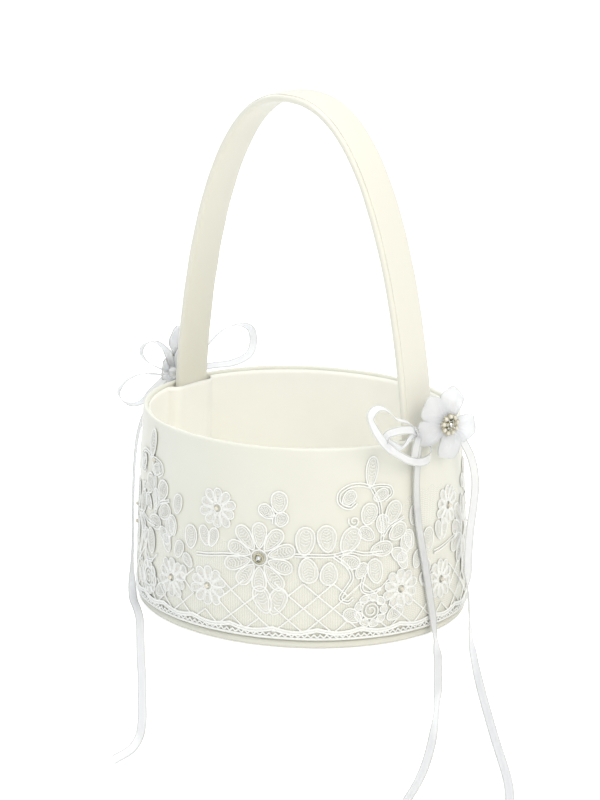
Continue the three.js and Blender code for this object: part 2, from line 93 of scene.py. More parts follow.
world = bpy.data.worlds.new("white room")
world.use_nodes = True
room = world.node_tree.nodes["Background"]
seen = world.node_tree.nodes.new("ShaderNodeLightPath")
room_colour = world.node_tree.nodes.new("ShaderNodeMix")
room_colour.data_type = "RGBA"
room_colour.inputs["A"].default_value = (0.70, 0.725, 0.75, 1)
room_colour.inputs["B"].default_value = (1, 1, 1, 1)
world.node_tree.links.new(seen.outputs["Is Camera Ray"], room_colour.inputs["Factor"])
world.node_tree.links.new(room_colour.outputs["Result"], room.inputs["Color"])
bpy.context.scene.world = world


def add_softbox(name, place, aim, size, power, colour=(1, 1, 1)):
    light = bpy.data.lights.new(name, "AREA")
    light.shape = "DISK"
    light.size = size
    light.energy = power
    light.color = colour
    lamp = bpy.data.objects.new(name, light)
    bpy.context.scene.collection.objects.link(lamp)
    lamp.location = place
    lamp.rotation_euler = (Vector(place) - Vector(aim)).to_track_quat("Z", "Y").to_euler()


add_softbox("key light", (2.0, -0.5, 1.3), (0, 0, 0.08), 1.5, 15, (1, 0.92, 0.77))
add_softbox("fill light", (-2.2, -1.8, 1.0), (0, 0, 0.1), 1.2, 3, (0.74, 0.86, 1))
add_softbox("side light", (-1.8, 1.0, 1.3), (0, 0, 0.12), 0.8, 5, (0.93, 0.97, 1))
add_softbox("front light", (0.2, -2.4, 1.2), (0, 0, 0.1), 1.4, 1.4)
add_softbox("top light", (0.1, -0.1, 2.2), (0, 0, 0), 1.2, 19)

# ---- Satin ------------------------------------------------------------------
# Bridal satin: a fine weave whose long floats give a soft sheen, a little warmer and duller
# where the cloth lies in a slack. The same effect serves the body, handle and lining.


def add_node(tree, kind, settings=(), values=()):
    node = tree.nodes.new(kind)
    for key, value in dict(settings).items():
        setattr(node, key, value)
    for key, value in dict(values).items():
        node.inputs[key].default_value = value
    return node


satin_group = bpy.data.node_groups.new("satin weave", "ShaderNodeTree")
for name, kind in (("Colour", "NodeSocketColor"), ("Shade", "NodeSocketColor"),
                   ("Threads", "NodeSocketFloat"), ("Slack", "NodeSocketFloat")):
    satin_group.interface.new_socket(name, in_out="INPUT", socket_type=kind)
for name, kind in (("Colour", "NodeSocketColor"), ("Roughness", "NodeSocketFloat"),
                   ("Height", "NodeSocketFloat")):
    satin_group.interface.new_socket(name, in_out="OUTPUT", socket_type=kind)
satin_in = add_node(satin_group, "NodeGroupInput")
satin_out = add_node(satin_group, "NodeGroupOutput")
satin_place = add_node(satin_group, "ShaderNodeTexCoord")
slack_noise = add_node(satin_group, "ShaderNodeTexNoise", values={"Scale": 22, "Detail": 3})
thread_noise = add_node(satin_group, "ShaderNodeTexNoise", values={"Detail": 2, "Roughness": 0.7})
satin_mix = add_node(satin_group, "ShaderNodeMix", {"data_type": "RGBA"})
satin_rough = add_node(satin_group, "ShaderNodeMapRange",
                       values={"From Min": 0.3, "From Max": 0.7, "To Min": 0.36, "To Max": 0.5})
slack_height = add_node(satin_group, "ShaderNodeMath", {"operation": "MULTIPLY"})
satin_height = add_node(satin_group, "ShaderNodeMath", {"operation": "MULTIPLY_ADD"},
                        {1: 0.12})
link = satin_group.links.new
link(satin_place.outputs["Object"], slack_noise.inputs["Vector"])
link(satin_place.outputs["Object"], thread_noise.inputs["Vector"])
link(satin_in.outputs["Threads"], thread_noise.inputs["Scale"])
link(slack_noise.outputs["Fac"], satin_mix.inputs["Factor"])
link(satin_in.outputs["Colour"], satin_mix.inputs["A"])
link(satin_in.outputs["Shade"], satin_mix.inputs["B"])
link(slack_noise.outputs["Fac"], satin_rough.inputs["Value"])
link(slack_noise.outputs["Fac"], slack_height.inputs[0])
link(satin_in.outputs["Slack"], slack_height.inputs[1])
link(thread_noise.outputs["Fac"], satin_height.inputs[0])
link(slack_height.outputs[0], satin_height.inputs[2])
link(satin_mix.outputs["Result"], satin_out.inputs["Colour"])
link(satin_rough.outputs["Result"], satin_out.inputs["Roughness"])
link(satin_height.outputs[0], satin_out.inputs["Height"])


def satin(name, colour, shade, threads=1800, slack=1.0, bump=0.25):
    material = bpy.data.materials.new(name)
    material.use_nodes = True
    tree = material.node_tree
    shader = tree.nodes["Principled BSDF"]
    shader.inputs["Sheen Weight"].default_value = 0.25
    shader.inputs["Sheen Roughness"].default_value = 0.35
    shader.inputs["Specular IOR Level"].default_value = 0.45
    weave = add_node(tree, "ShaderNodeGroup", {"node_tree": satin_group},
                     {"Colour": (*colour, 1), "Shade": (*shade, 1), "Threads": threads,
                      "Slack": slack})
    relief = add_node(tree, "ShaderNodeBump", values={"Strength": bump, "Distance": 0.0006})
    tree.links.new(weave.outputs["Colour"], shader.inputs["Base Color"])
    tree.links.new(weave.outputs["Roughness"], shader.inputs["Roughness"])
    tree.links.new(weave.outputs["Height"], relief.inputs["Height"])
    tree.links.new(relief.outputs["Normal"], shader.inputs["Normal"])
    return material


body_satin = satin("ivory satin", (0.77, 0.763, 0.68), (0.745, 0.735, 0.64))

# ---- Outer cover ------------------------------------------------------------
# Satin drawn round the stiff oval wall, over wadding, rolled over the rim and turned down
# inside. It is glued tight, so it shows only slight ripples.
cover_low, cover_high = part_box("outer_cover")
OVAL = cover_high.y / cover_high.x
RIM = cover_high.z
FLARE = 0.0045
FLARE_POWER = 1.6


def wall_length(z):
    """The wall's half length at a height: it stands out a little towards its foot."""
    share = min(max(z / RIM, 0), 1)
    return cover_high.x - FLARE * share ** FLARE_POWER


def draw_rings(name, rings, segments):
    """Oval rings, each (half length, height), drawn up one from the other."""
    bpy.ops.object.select_all(action="DESELECT")
    length, height = rings[0]
    bpy.ops.mesh.primitive_circle_add(vertices=segments, radius=length, location=(0, 0, height))
    piece = bpy.context.object
    piece.name = name
    bpy.ops.object.mode_set(mode="EDIT")
    bpy.ops.mesh.select_all(action="SELECT")
    bpy.ops.transform.resize(value=(1, OVAL, 1))
    for next_length, next_height in rings[1:]:
        rise = (0, 0, next_height - height)
        bpy.ops.mesh.extrude_region_move(TRANSFORM_OT_translate={"value": rise})
        grow = next_length / length
        bpy.ops.transform.resize(value=(grow, grow, 1))
        length, height = next_length, next_height
    bpy.ops.object.mode_set(mode="OBJECT")
    bpy.ops.object.transform_apply(location=True, rotation=True, scale=True)
    return piece


def apply_modifier(piece, kind, **settings):
    bpy.context.view_layer.objects.active = piece
    modifier = piece.modifiers.new(kind.lower(), kind)
    for key, value in settings.items():
        setattr(modifier, key, value)
    bpy.ops.object.modifier_apply(modifier=modifier.name)


def recalculate_outside(piece):
    bpy.ops.object.select_all(action="DESELECT")
    piece.select_set(True)
    bpy.context.view_layer.objects.active = piece
    bpy.ops.object.mode_set(mode="EDIT")
    bpy.ops.mesh.select_all(action="SELECT")
    bpy.ops.mesh.remove_doubles(threshold=0.000001)
    bpy.ops.mesh.normals_make_consistent(inside=False)
    bpy.ops.object.mode_set(mode="OBJECT")


def ripple(piece, scale, depth, stretch=(1, 1, 1)):
    """Pushes each corner in or out by a smooth noise, along its normal."""
    normals = [vertex.normal.copy() for vertex in piece.data.vertices]
    for vertex, normal in zip(piece.data.vertices, normals):
        place = Vector([vertex.co[axis] * stretch[axis] for axis in range(3)]) * scale
        vertex.co += normal * noise.noise(place) * depth


def smooth_shade(piece):
    for polygon in piece.data.polygons:
        polygon.use_smooth = True


def wall_rings(inset, low, high, rows):
    heights = [low + (high - low) * row / rows for row in range(rows + 1)]
    return [(wall_length(z) - inset, z) for z in heights]


COVER_THICKNESS = 0.0004
ROLL = 0.00175
roll_centre = wall_length(RIM) - ROLL
roll_rings = []
for step in range(1, 12):
    turn = math.pi * step / 12
    roll_rings.append((roll_centre + ROLL * math.cos(turn), RIM - ROLL + ROLL * math.sin(turn)))
turned_edge = [(roll_centre - ROLL, RIM - ROLL - 0.002 * row) for row in range(4)]
cover = draw_rings(
    "satin_cover",
    wall_rings(0, cover_low.z, RIM - ROLL, 22) + roll_rings + turned_edge, 180)
recalculate_outside(cover)
ripple(cover, 34, 0.00045, (1, 1, 0.45))
ripple(cover, 90, 0.00018)
apply_modifier(cover, "SOLIDIFY", thickness=COVER_THICKNESS, offset=-1)
smooth_shade(cover)
cover.data.materials.append(body_satin)
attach(cover, "root")
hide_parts("outer_cover")

# ---- Lining -----------------------------------------------------------------
# Cream lining satin, glued inside the board. It swells over each foot of the handle and lies
# a little loose, with a thin seam where it meets the rolled rim.
lining_low, lining_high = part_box("lining")
handle_low, handle_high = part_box("handle_cover")
LINING_INSET = 0.0038
LINING_THICKNESS = 0.0006
HANDLE_WIDTH = handle_high.y - handle_low.y
HANDLE_THICKNESS = 0.0055
SIDE_POWER = 2.32
CROWN_POWER = 1.88
half_span = handle_high.x - HANDLE_THICKNESS / 2
handle_rise = handle_high.z - HANDLE_THICKNESS / 2 - handle_low.z


def handle_half_width(z):
    share = min(max((z - handle_low.z) / handle_rise, 0), 1)
    return half_span * math.sqrt(1 - share ** CROWN_POWER) ** (2 / SIDE_POWER)


def ease(value):
    share = min(max(value, 0), 1)
    return share * share * (3 - 2 * share)


lining_satin = satin("cream lining", (0.99, 0.98, 0.925), (0.985, 0.97, 0.9), slack=1.6)
lining = draw_rings(
    "cream_lining", wall_rings(LINING_INSET, lining_low.z, lining_high.z, 40), 180)
POCKET_MARGIN = 0.0004
POCKET_FADE = 0.006
recalculate_outside(lining)
for vertex in lining.data.vertices:
    x, y, z = vertex.co
    swell = wall_length(z) - LINING_INSET - handle_half_width(z) + HANDLE_THICKNESS / 2 + 0.0003
    side = 1 - ease((abs(y) - HANDLE_WIDTH / 2 - POCKET_MARGIN) / POCKET_FADE)
    foot = 1 - ease((handle_low.z - z) / 0.022)
    vertex.co.x -= math.copysign(max(swell, 0) * side * foot, x)
    slack = noise.noise(Vector((x * 26, y * 26, z * 9))) * 0.0009
    slack *= ease((lining_high.z - z) / 0.02) * (1 - side)
    vertex.co.x -= x / 0.095 * abs(slack)
    vertex.co.y -= y / 0.086 * abs(slack)
apply_modifier(lining, "SOLIDIFY", thickness=LINING_THICKNESS, offset=-1)
smooth_shade(lining)
lining.data.materials.append(lining_satin)
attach(lining, "root")
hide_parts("lining")

# ---- Base and floor pad -----------------------------------------------------
# The base is a stiff oval board wrapped in the body's satin, with a soft round edge. A thin
# cream pad lies on it inside.
base_low, base_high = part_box("base_cover")
pad_low, pad_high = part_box("floor_pad")
EDGE_RADIUS = (base_high.z - base_low.z) / 2
BASE_SKIN = 0.0006


def fill_ends(piece):
    bpy.ops.object.select_all(action="DESELECT")
    piece.select_set(True)
    bpy.context.view_layer.objects.active = piece
    bpy.ops.object.mode_set(mode="EDIT")
    bpy.ops.mesh.select_all(action="SELECT")
    bpy.ops.mesh.fill_holes(sides=0)
    bpy.ops.object.mode_set(mode="OBJECT")


def edge_arc(radius, turns):
    centre = base_high.x - EDGE_RADIUS
    return [(centre + radius * math.cos(turn), EDGE_RADIUS + radius * math.sin(turn))
            for turn in turns]


half_turns = [math.pi * (step / 12 - 0.5) for step in range(13)]
flat_rings = [(0.004, 0), (0.04, 0), (0.08, 0)]
inner_rings = [(length, BASE_SKIN) for length, _ in reversed(flat_rings)]
lip = [(base_high.x - 0.008, base_high.z), (base_high.x - 0.008, base_high.z - BASE_SKIN)]
base = draw_rings(
    "satin_base",
    flat_rings + edge_arc(EDGE_RADIUS, half_turns) + lip
    + edge_arc(EDGE_RADIUS - BASE_SKIN, reversed(half_turns)) + inner_rings, 180)
fill_ends(base)
recalculate_outside(base)
for vertex in base.data.vertices:
    around = math.atan2(vertex.co.y, vertex.co.x)
    gather = noise.noise(Vector((math.cos(around) * 9, math.sin(around) * 9, vertex.co.z * 90)))
    vertex.co.x *= 1 + gather * 0.0018
    vertex.co.y *= 1 + gather * 0.0018
smooth_shade(base)
base.data.materials.append(body_satin)
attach(base, "root")
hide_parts("base_cover")

pad_rings = [(pad_high.x - 0.0015, pad_low.z), (pad_high.x - 0.0004, pad_low.z + 0.0009)]
for step in range(9):
    turn = math.pi / 2 * step / 8
    pad_rings.append((pad_high.x - 0.003 + 0.003 * math.cos(turn),
                      pad_high.z - 0.0026 + 0.002 * math.sin(turn)))
for share in (0.92, 0.8, 0.6, 0.4, 0.2, 0.03):
    pad_rings.append((pad_high.x * share, pad_high.z - 0.0006 * share ** 3))
pad = draw_rings("floor_cushion", pad_rings, 120)
fill_ends(pad)
recalculate_outside(pad)
ripple(pad, 40, 0.0004)
smooth_shade(pad)
pad.data.materials.append(lining_satin)
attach(pad, "root")
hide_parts("floor_pad")

# ---- Hidden layers ----------------------------------------------------------
# Grey board stiffens the wall, base and handle, and thin wadding lies between it and the
# satin. They show only where the layers part.


def fibre(name, colour, dark, scale, bump):
    material = bpy.data.materials.new(name)
    material.use_nodes = True
    tree = material.node_tree
    shader = tree.nodes["Principled BSDF"]
    shader.inputs["Roughness"].default_value = 0.92
    place = add_node(tree, "ShaderNodeTexCoord")
    fleck = add_node(tree, "ShaderNodeTexNoise", values={"Scale": scale, "Detail": 5})
    mix = add_node(tree, "ShaderNodeMix", {"data_type": "RGBA"},
                   {"A": (*colour, 1), "B": (*dark, 1)})
    relief = add_node(tree, "ShaderNodeBump", values={"Strength": bump, "Distance": 0.0005})
    tree.links.new(place.outputs["Object"], fleck.inputs["Vector"])
    tree.links.new(fleck.outputs["Fac"], mix.inputs["Factor"])
    tree.links.new(mix.outputs["Result"], shader.inputs["Base Color"])
    tree.links.new(fleck.outputs["Fac"], relief.inputs["Height"])
    tree.links.new(relief.outputs["Normal"], shader.inputs["Normal"])
    return material


grey_board = fibre("grey board", (0.52, 0.44, 0.3), (0.4, 0.33, 0.22), 700, 0.2)
wadding = fibre("wadding", (0.86, 0.85, 0.8), (0.78, 0.77, 0.71), 420, 0.6)
for name, material in (("side_board", grey_board), ("base_board", grey_board),
                       ("handle_core", grey_board), ("wall_padding", wadding),
                       ("handle_padding", wadding)):
    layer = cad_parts[name]
    layer.data.materials.clear()
    layer.data.materials.append(material)

# ---- Handle -----------------------------------------------------------------
# A tall arch: a stiff strip with wadding round it, in a sleeve of the body's satin. Its faces
# are a little crowned, and a narrower strip of satin is glued along its underside.
handle_satin = satin("handle satin", (0.785, 0.768, 0.68), (0.76, 0.738, 0.64), slack=0.8)


def arch_point(share):
    turn = math.pi * share
    across = abs(math.cos(turn)) ** (2 / SIDE_POWER)
    height = abs(math.sin(turn)) ** (2 / CROWN_POWER)
    return Vector((math.copysign(half_span * across, math.cos(turn)), 0,
                   handle_low.z + handle_rise * height))


def even_points(points, count):
    """Points at even steps along a chain of points."""
    lengths = [0]
    for start, end in zip(points, points[1:]):
        lengths.append(lengths[-1] + (end - start).length)
    result = []
    segment = 0
    for index in range(count):
        target = lengths[-1] * index / (count - 1)
        while segment < len(points) - 2 and lengths[segment + 1] < target:
            segment += 1
        span = max(lengths[segment + 1] - lengths[segment], 1e-12)
        share = (target - lengths[segment]) / span
        result.append(points[segment].lerp(points[segment + 1], min(share, 1)))
    return result


def tangents_of(points):
    last = len(points) - 1
    return [(points[min(i + 1, last)] - points[max(i - 1, 0)]).normalized()
            for i in range(last + 1)]


def move_grid(name, along, around, place):
    """A grid whose every corner is put in place by its two shares, from 0 to 1."""
    bpy.ops.object.select_all(action="DESELECT")
    bpy.ops.mesh.primitive_grid_add(x_subdivisions=along, y_subdivisions=around, size=1)
    piece = bpy.context.object
    piece.name = name
    for vertex in piece.data.vertices:
        vertex.co = place(vertex.co.x + 0.5, vertex.co.y + 0.5)
    return piece


ARCH_STEPS = 180
arch_points = even_points([arch_point(step / 2000) for step in range(2001)], ARCH_STEPS + 1)
arch_tangents = tangents_of(arch_points)
across = Vector((0, 1, 0))


def handle_surface(share, turn_share):
    index = round(share * ARCH_STEPS)
    turn = 2 * math.pi * turn_share
    side = math.copysign(abs(math.cos(turn)) ** 0.32, math.cos(turn))
    rise = math.copysign(abs(math.sin(turn)) ** 0.62, math.sin(turn))
    crown = 1 - 0.14 * side * side
    out = across.cross(arch_tangents[index]) * -1
    place = arch_points[index] + across * (side * HANDLE_WIDTH / 2)
    return place + out * (rise * crown * HANDLE_THICKNESS / 2)


handle = move_grid("satin_handle", ARCH_STEPS, 56, handle_surface)
recalculate_outside(handle)
ripple(handle, 60, 0.00022, (1, 1.6, 1))
fill_ends(handle)
recalculate_outside(handle)
smooth_shade(handle)
handle.data.materials.append(handle_satin)
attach(handle, "root")
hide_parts("handle_cover")

FACING_WIDTH = HANDLE_WIDTH - 0.0042


def facing_surface(share, side_share):
    index = round((0.02 + 0.96 * share) * ARCH_STEPS)
    out = across.cross(arch_tangents[index]) * -1
    side = side_share * 2 - 1
    dip = HANDLE_THICKNESS / 2 * (1 - 0.14 * side * side) + 0.00005
    return arch_points[index] + across * (side * FACING_WIDTH / 2) - out * dip


facing = move_grid("handle_facing", ARCH_STEPS, 12, facing_surface)
recalculate_outside(facing)
apply_modifier(facing, "SOLIDIFY", thickness=0.0005, offset=0)
apply_modifier(facing, "BEVEL", width=0.00015, segments=2)
smooth_shade(facing)
facing.data.materials.append(handle_satin)
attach(facing, "root")

# ---- Ribbon tails -----------------------------------------------------------
# Narrow double-faced satin ribbon. The tails hang from the bows, meet the table and run out
# over it, lying flat in some stretches and turning on edge in others.
RIBBON_WIDTH = 0.005
RIBBON_THICKNESS = 0.0004


def ribbon_satin(name, colour, shade, edge_line_and_shade):
    """Ribbon's satin, with a darker line along both edges: partly its denser woven edge, partly painted
    shade along the edges.
    """
    material = satin(name, colour, shade, threads=2600, slack=0.3, bump=0.18)
    tree = material.node_tree
    shader = tree.nodes["Principled BSDF"]
    shader.inputs["Sheen Weight"].default_value = 0.3
    shader.inputs["Subsurface Weight"].default_value = 0.6
    shader.inputs["Subsurface Radius"].default_value = (1, 1, 1)
    shader.inputs["Subsurface Scale"].default_value = 0.01
    weave = shader.inputs["Base Color"].links[0].from_node
    place = add_node(tree, "ShaderNodeUVMap")
    split = add_node(tree, "ShaderNodeSeparateXYZ")
    middle = add_node(tree, "ShaderNodeMath", {"operation": "SUBTRACT"}, {1: 0.5})
    aside = add_node(tree, "ShaderNodeMath", {"operation": "ABSOLUTE"})
    line = add_node(tree, "ShaderNodeMapRange", values={"From Min": 0.33, "From Max": 0.42})
    # The edge colour is partly the woven edge and partly painted shade, standing in for the shading
    # along the ribbon's edges.
    mix = add_node(tree, "ShaderNodeMix", {"data_type": "RGBA"}, {"B": (*edge_line_and_shade, 1)})
    tree.links.new(place.outputs["UV"], split.inputs["Vector"])
    tree.links.new(split.outputs["Y"], middle.inputs[0])
    tree.links.new(middle.outputs[0], aside.inputs[0])
    tree.links.new(aside.outputs[0], line.inputs["Value"])
    tree.links.new(line.outputs["Result"], mix.inputs["Factor"])
    tree.links.new(weave.outputs["Colour"], mix.inputs["A"])
    tree.links.new(mix.outputs["Result"], shader.inputs["Base Color"])
    return material


# The last colour is the edge line: woven edge together with painted edge shade.
white_ribbon = ribbon_satin("white ribbon", (0.86, 0.862, 0.88), (0.8, 0.802, 0.815),
                            (0.46, 0.46, 0.44))


def curve_through(points, count):
    """Even points on a smooth curve through a few points, all in metres."""
    ends = [points[0] * 2 - points[1]] + points + [points[-1] * 2 - points[-2]]
    fine = []
    for a, b, c, d in zip(ends, ends[1:], ends[2:], ends[3:]):
        for step in range(12):
            t = step / 12
            fine.append(0.5 * ((2 * b) + (c - a) * t + (2 * a - 5 * b + 4 * c - d) * t * t
                               + (3 * b - a - 3 * c + d) * t ** 3))
    fine.append(points[-1])
    return even_points(fine, count)


def at_share(keys, share):
    """The value between the keys, each (share, vector)."""
    for (start, first), (end, second) in zip(keys, keys[1:]):
        if share <= end:
            return Vector(first).lerp(Vector(second), ease((share - start) / (end - start)))
    return Vector(keys[-1][1])


def lay_ribbon(name, path, faces, columns=4, width=RIBBON_WIDTH):
    """A ribbon along a path. Its faces say which way it looks, at shares of its length."""
    tangents = tangents_of(path)
    last = len(path) - 1

    def surface(share, side_share):
        index = round(share * last)
        face = at_share(faces, share)
        side = face.cross(tangents[index]).normalized()
        lift = abs(side.z) * width / 2 + RIBBON_THICKNESS - path[index].z
        centre = path[index] + Vector((0, 0, max(lift, 0)))
        return centre + side * ((side_share - 0.5) * width)

    piece = move_grid(name, last, columns, surface)
    apply_modifier(piece, "SOLIDIFY", thickness=RIBBON_THICKNESS, offset=0)
    smooth_shade(piece)
    bpy.ops.object.select_all(action="DESELECT")
    piece.select_set(True)
    bpy.context.view_layer.objects.active = piece
    bpy.ops.object.shade_smooth_by_angle(angle=math.radians(40))
    return piece


def in_metres(points):
    return [Vector(point) * 0.001 for point in points]


tails = {
    "right_front": (
        ((103.4, -12, 117), (102.8, -12.5, 103), (103, -13, 88), (103.6, -12, 73),
         (104.4, -10.2, 60), (105, -8, 48), (105.8, -5.8, 35), (106.4, -3.6, 22),
         (107.4, -2.4, 11), (110.5, -4.5, 3), (116, -9.8, 0.9), (127, -21.5, 0.8),
         (138.5, -34, 0.8), (160.5, -59.5, 0.8), (182, -85, 0.8), (202, -110, 0.8),
         (221, -135, 0.8), (238.5, -159.5, 0.8), (254.5, -184.5, 0.8), (268.5, -210, 0.8),
         (280, -232, 0.8), (291, -255, 0.8)),
        ((0, (1, -0.1, 0)), (0.25, (1, -0.2, 0)), (0.3, (0.6, 0.5, 0.6)), (0.36, (0, 0, 1)),
         (0.46, (0, 0.1, 1)), (0.56, (-0.75, -0.55, 0.75)), (0.7, (0, 0, 1)), (1, (0, 0, 1)))),
    "right_rear": (
        ((103.5, 21, 119), (105.5, 26, 112), (107, 30.5, 103), (107.5, 33.5, 93),
         (107.5, 34.5, 83), (107.2, 33.3, 71), (107, 31, 57), (107, 29.5, 40),
         (106.8, 30, 24), (106.6, 31, 12), (109, 29, 3.5), (114, 24, 1), (130, 5.5, 0.8),
         (154, -20, 0.8), (177.5, -44, 0.8), (201, -67.5, 0.8), (224, -90, 0.8),
         (246, -111.5, 0.8), (268, -132.5, 0.8), (289, -153, 0.8), (308, -174, 0.8),
         (322, -193, 0.8)),
        ((0, (1, -0.6, 0)), (0.2, (0.8, -0.6, 0)), (0.25, (0.6, 0.75, 0)),
         (0.34, (0.7, 0.7, 0.5)), (0.42, (0.3, 0.3, 0.9)), (0.55, (0, 0, 1)), (1, (0, 0, 1)))),
    "left_front": (
        ((-103.6, 4, 117), (-104.6, -11, 112), (-104, -26, 104), (-102.4, -36, 91),
         (-99.6, -42.5, 72), (-97, -46.5, 50), (-93, -51, 30), (-87, -58, 14), (-78, -67, 4),
         (-68, -76, 1), (-55, -86, 0.8), (-38, -100.5, 0.8), (-12.5, -125.5, 0.8),
         (12.5, -150, 0.8), (37, -173.5, 0.8), (60.5, -197, 0.8), (83, -219.5, 0.8),
         (102, -241, 0.8), (113, -258, 0.8), (118.5, -277, 0.8)),
        ((0, (0.9, 0.35, 0.2)), (0.2, (0.9, 0.5, 0)), (0.28, (0.8, 0.6, 0.3)), (0.36, (0, 0, 1)),
         (0.86, (0, 0, 1)), (0.95, (0.5, 0.4, 0.7)), (1, (0.7, 0.5, 0.4)))),
}
for place, (route, faces) in tails.items():
    path = curve_through(in_metres(route), 181)
    tail = lay_ribbon(f"ribbon_tail_{place}", path, faces)
    tail.data.materials.append(white_ribbon)
    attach(tail, "root")
    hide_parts(f"tail_{place}")

# ---- Lace net ---------------------------------------------------------------
# The lace round the body is worked on a fine machine net. The net is cut low between the
# handle's feet, rises towards them, and is glued over the satin.
panel_low, panel_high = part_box("lace_panel")
NET_TOP_LOW = 0.062
NET_TOP_RISE = panel_high.z - NET_TOP_LOW
NET_LIFT = 0.00045


def wall_spot(turn, z, lift):
    """A point over the wall: the turn in radians round it, the height, and the height off it."""
    length = wall_length(z) + lift
    return Vector((length * math.cos(turn), length * OVAL * math.sin(turn), z))


lace_thread = bpy.data.materials.new("lace thread")
lace_thread.use_nodes = True
thread_tree = lace_thread.node_tree
thread_shader = thread_tree.nodes["Principled BSDF"]
thread_shader.inputs["Sheen Weight"].default_value = 0.3
thread_place = add_node(thread_tree, "ShaderNodeTexCoord")
thread_twist = add_node(thread_tree, "ShaderNodeTexNoise", values={"Scale": 1500, "Detail": 2})
thread_mix = add_node(thread_tree, "ShaderNodeMix", {"data_type": "RGBA"},
                      {"A": (0.95, 0.95, 0.92, 1), "B": (0.84, 0.84, 0.8, 1)})
thread_rough = add_node(thread_tree, "ShaderNodeMapRange", values={"To Min": 0.4, "To Max": 0.65})
thread_relief = add_node(thread_tree, "ShaderNodeBump",
                         values={"Strength": 0.6, "Distance": 0.0004})
thread_link = thread_tree.links.new
thread_link(thread_place.outputs["Object"], thread_twist.inputs["Vector"])
thread_link(thread_twist.outputs["Fac"], thread_mix.inputs["Factor"])
thread_link(thread_twist.outputs["Fac"], thread_rough.inputs["Value"])
thread_link(thread_twist.outputs["Fac"], thread_relief.inputs["Height"])
thread_link(thread_mix.outputs["Result"], thread_shader.inputs["Base Color"])
thread_link(thread_rough.outputs["Result"], thread_shader.inputs["Roughness"])
thread_link(thread_relief.outputs["Normal"], thread_shader.inputs["Normal"])

stitch_satin = fibre("satin stitch", (0.84, 0.835, 0.775), (0.7, 0.685, 0.605), 1100, 0.9)

lace_net = bpy.data.materials.new("lace net")
lace_net.use_nodes = True
net_tree = lace_net.node_tree
net_shader = net_tree.nodes["Principled BSDF"]
net_shader.inputs["Roughness"].default_value = 0.6
net_uv = add_node(net_tree, "ShaderNodeUVMap")
net_size = add_node(net_tree, "ShaderNodeMapping", values={"Scale": (420, 62, 1)})
net_cells = add_node(net_tree, "ShaderNodeTexVoronoi",
                     {"feature": "DISTANCE_TO_EDGE", "voronoi_dimensions": "2D"},
                     {"Scale": 1, "Randomness": 0.35})
net_alpha = add_node(net_tree, "ShaderNodeMapRange",
                     values={"From Min": 0.08, "From Max": 0.16, "To Min": 0.22, "To Max": 0.0})
net_mix = add_node(net_tree, "ShaderNodeMix", {"data_type": "RGBA"},
                   {"A": (0.95, 0.95, 0.93, 1), "B": (0.9, 0.9, 0.88, 1)})
net_link = net_tree.links.new
net_link(net_uv.outputs["UV"], net_size.inputs["Vector"])
net_link(net_size.outputs["Vector"], net_cells.inputs["Vector"])
net_link(net_cells.outputs["Distance"], net_alpha.inputs["Value"])
net_link(net_cells.outputs["Distance"], net_mix.inputs["Factor"])
net_link(net_alpha.outputs["Result"], net_shader.inputs["Alpha"])
net_link(net_mix.outputs["Result"], net_shader.inputs["Base Color"])


def net_surface(share, height_share):
    turn = 2 * math.pi * share
    top = NET_TOP_LOW + NET_TOP_RISE * abs(math.cos(turn)) ** 8
    top += 0.0012 * math.sin(turn * 62)
    return wall_spot(turn, panel_low.z + (top - panel_low.z) * height_share, NET_LIFT)


net = move_grid("lace_ground_net", 480, 24, net_surface)
smooth_shade(net)
net.data.materials.append(lace_net)
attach(net, "root")
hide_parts("lace_panel")

# ---- Lace cordwork ----------------------------------------------------------
# The lace's pattern is outlined in cord: a large flower, leaves, vines and curls over a trellis,
# which repeat every quarter of the way round, with small flowers between them. Each part is
# drawn flat, in degrees round the wall and millimetres up it, then laid over the wall.
MM_PER_DEGREE = 1.69
FIRST_FLOWER = -64.6
CORD = 0.0005
FINE_CORD = 0.00028
CORD_FLATNESS = 0.62


def flat_curve(name, radius):
    curve = bpy.data.curves.new(name, "CURVE")
    curve.dimensions = "3D"
    curve.bevel_depth = radius
    curve.bevel_resolution = 1
    return curve


def lay_cord(curve, points, closed=False, lift=0.0):
    spline = curve.splines.new("POLY")
    spline.points.add(len(points) - 1)
    for point, (across_mm, up_mm) in zip(spline.points, points):
        point.co = (across_mm * 0.001, up_mm * 0.001, curve.bevel_depth + lift, 1)
    spline.use_cyclic_u = closed


def teardrop(centre, turn, inner, outer, width, steps=20, foot=0.5):
    """A petal's outline from the flower's centre, all in mm: narrow inside, full outside."""
    points = []
    for step in range(steps):
        swing = 2 * math.pi * step / steps
        out = (1 - math.cos(swing)) / 2
        aside = width / 2 * math.sin(swing) * (foot + (1.22 - foot) * out)
        far = inner + (outer - inner) * out
        points.append((centre[0] + far * math.cos(turn) - aside * math.sin(turn),
                       centre[1] + far * math.sin(turn) + aside * math.cos(turn)))
    return points


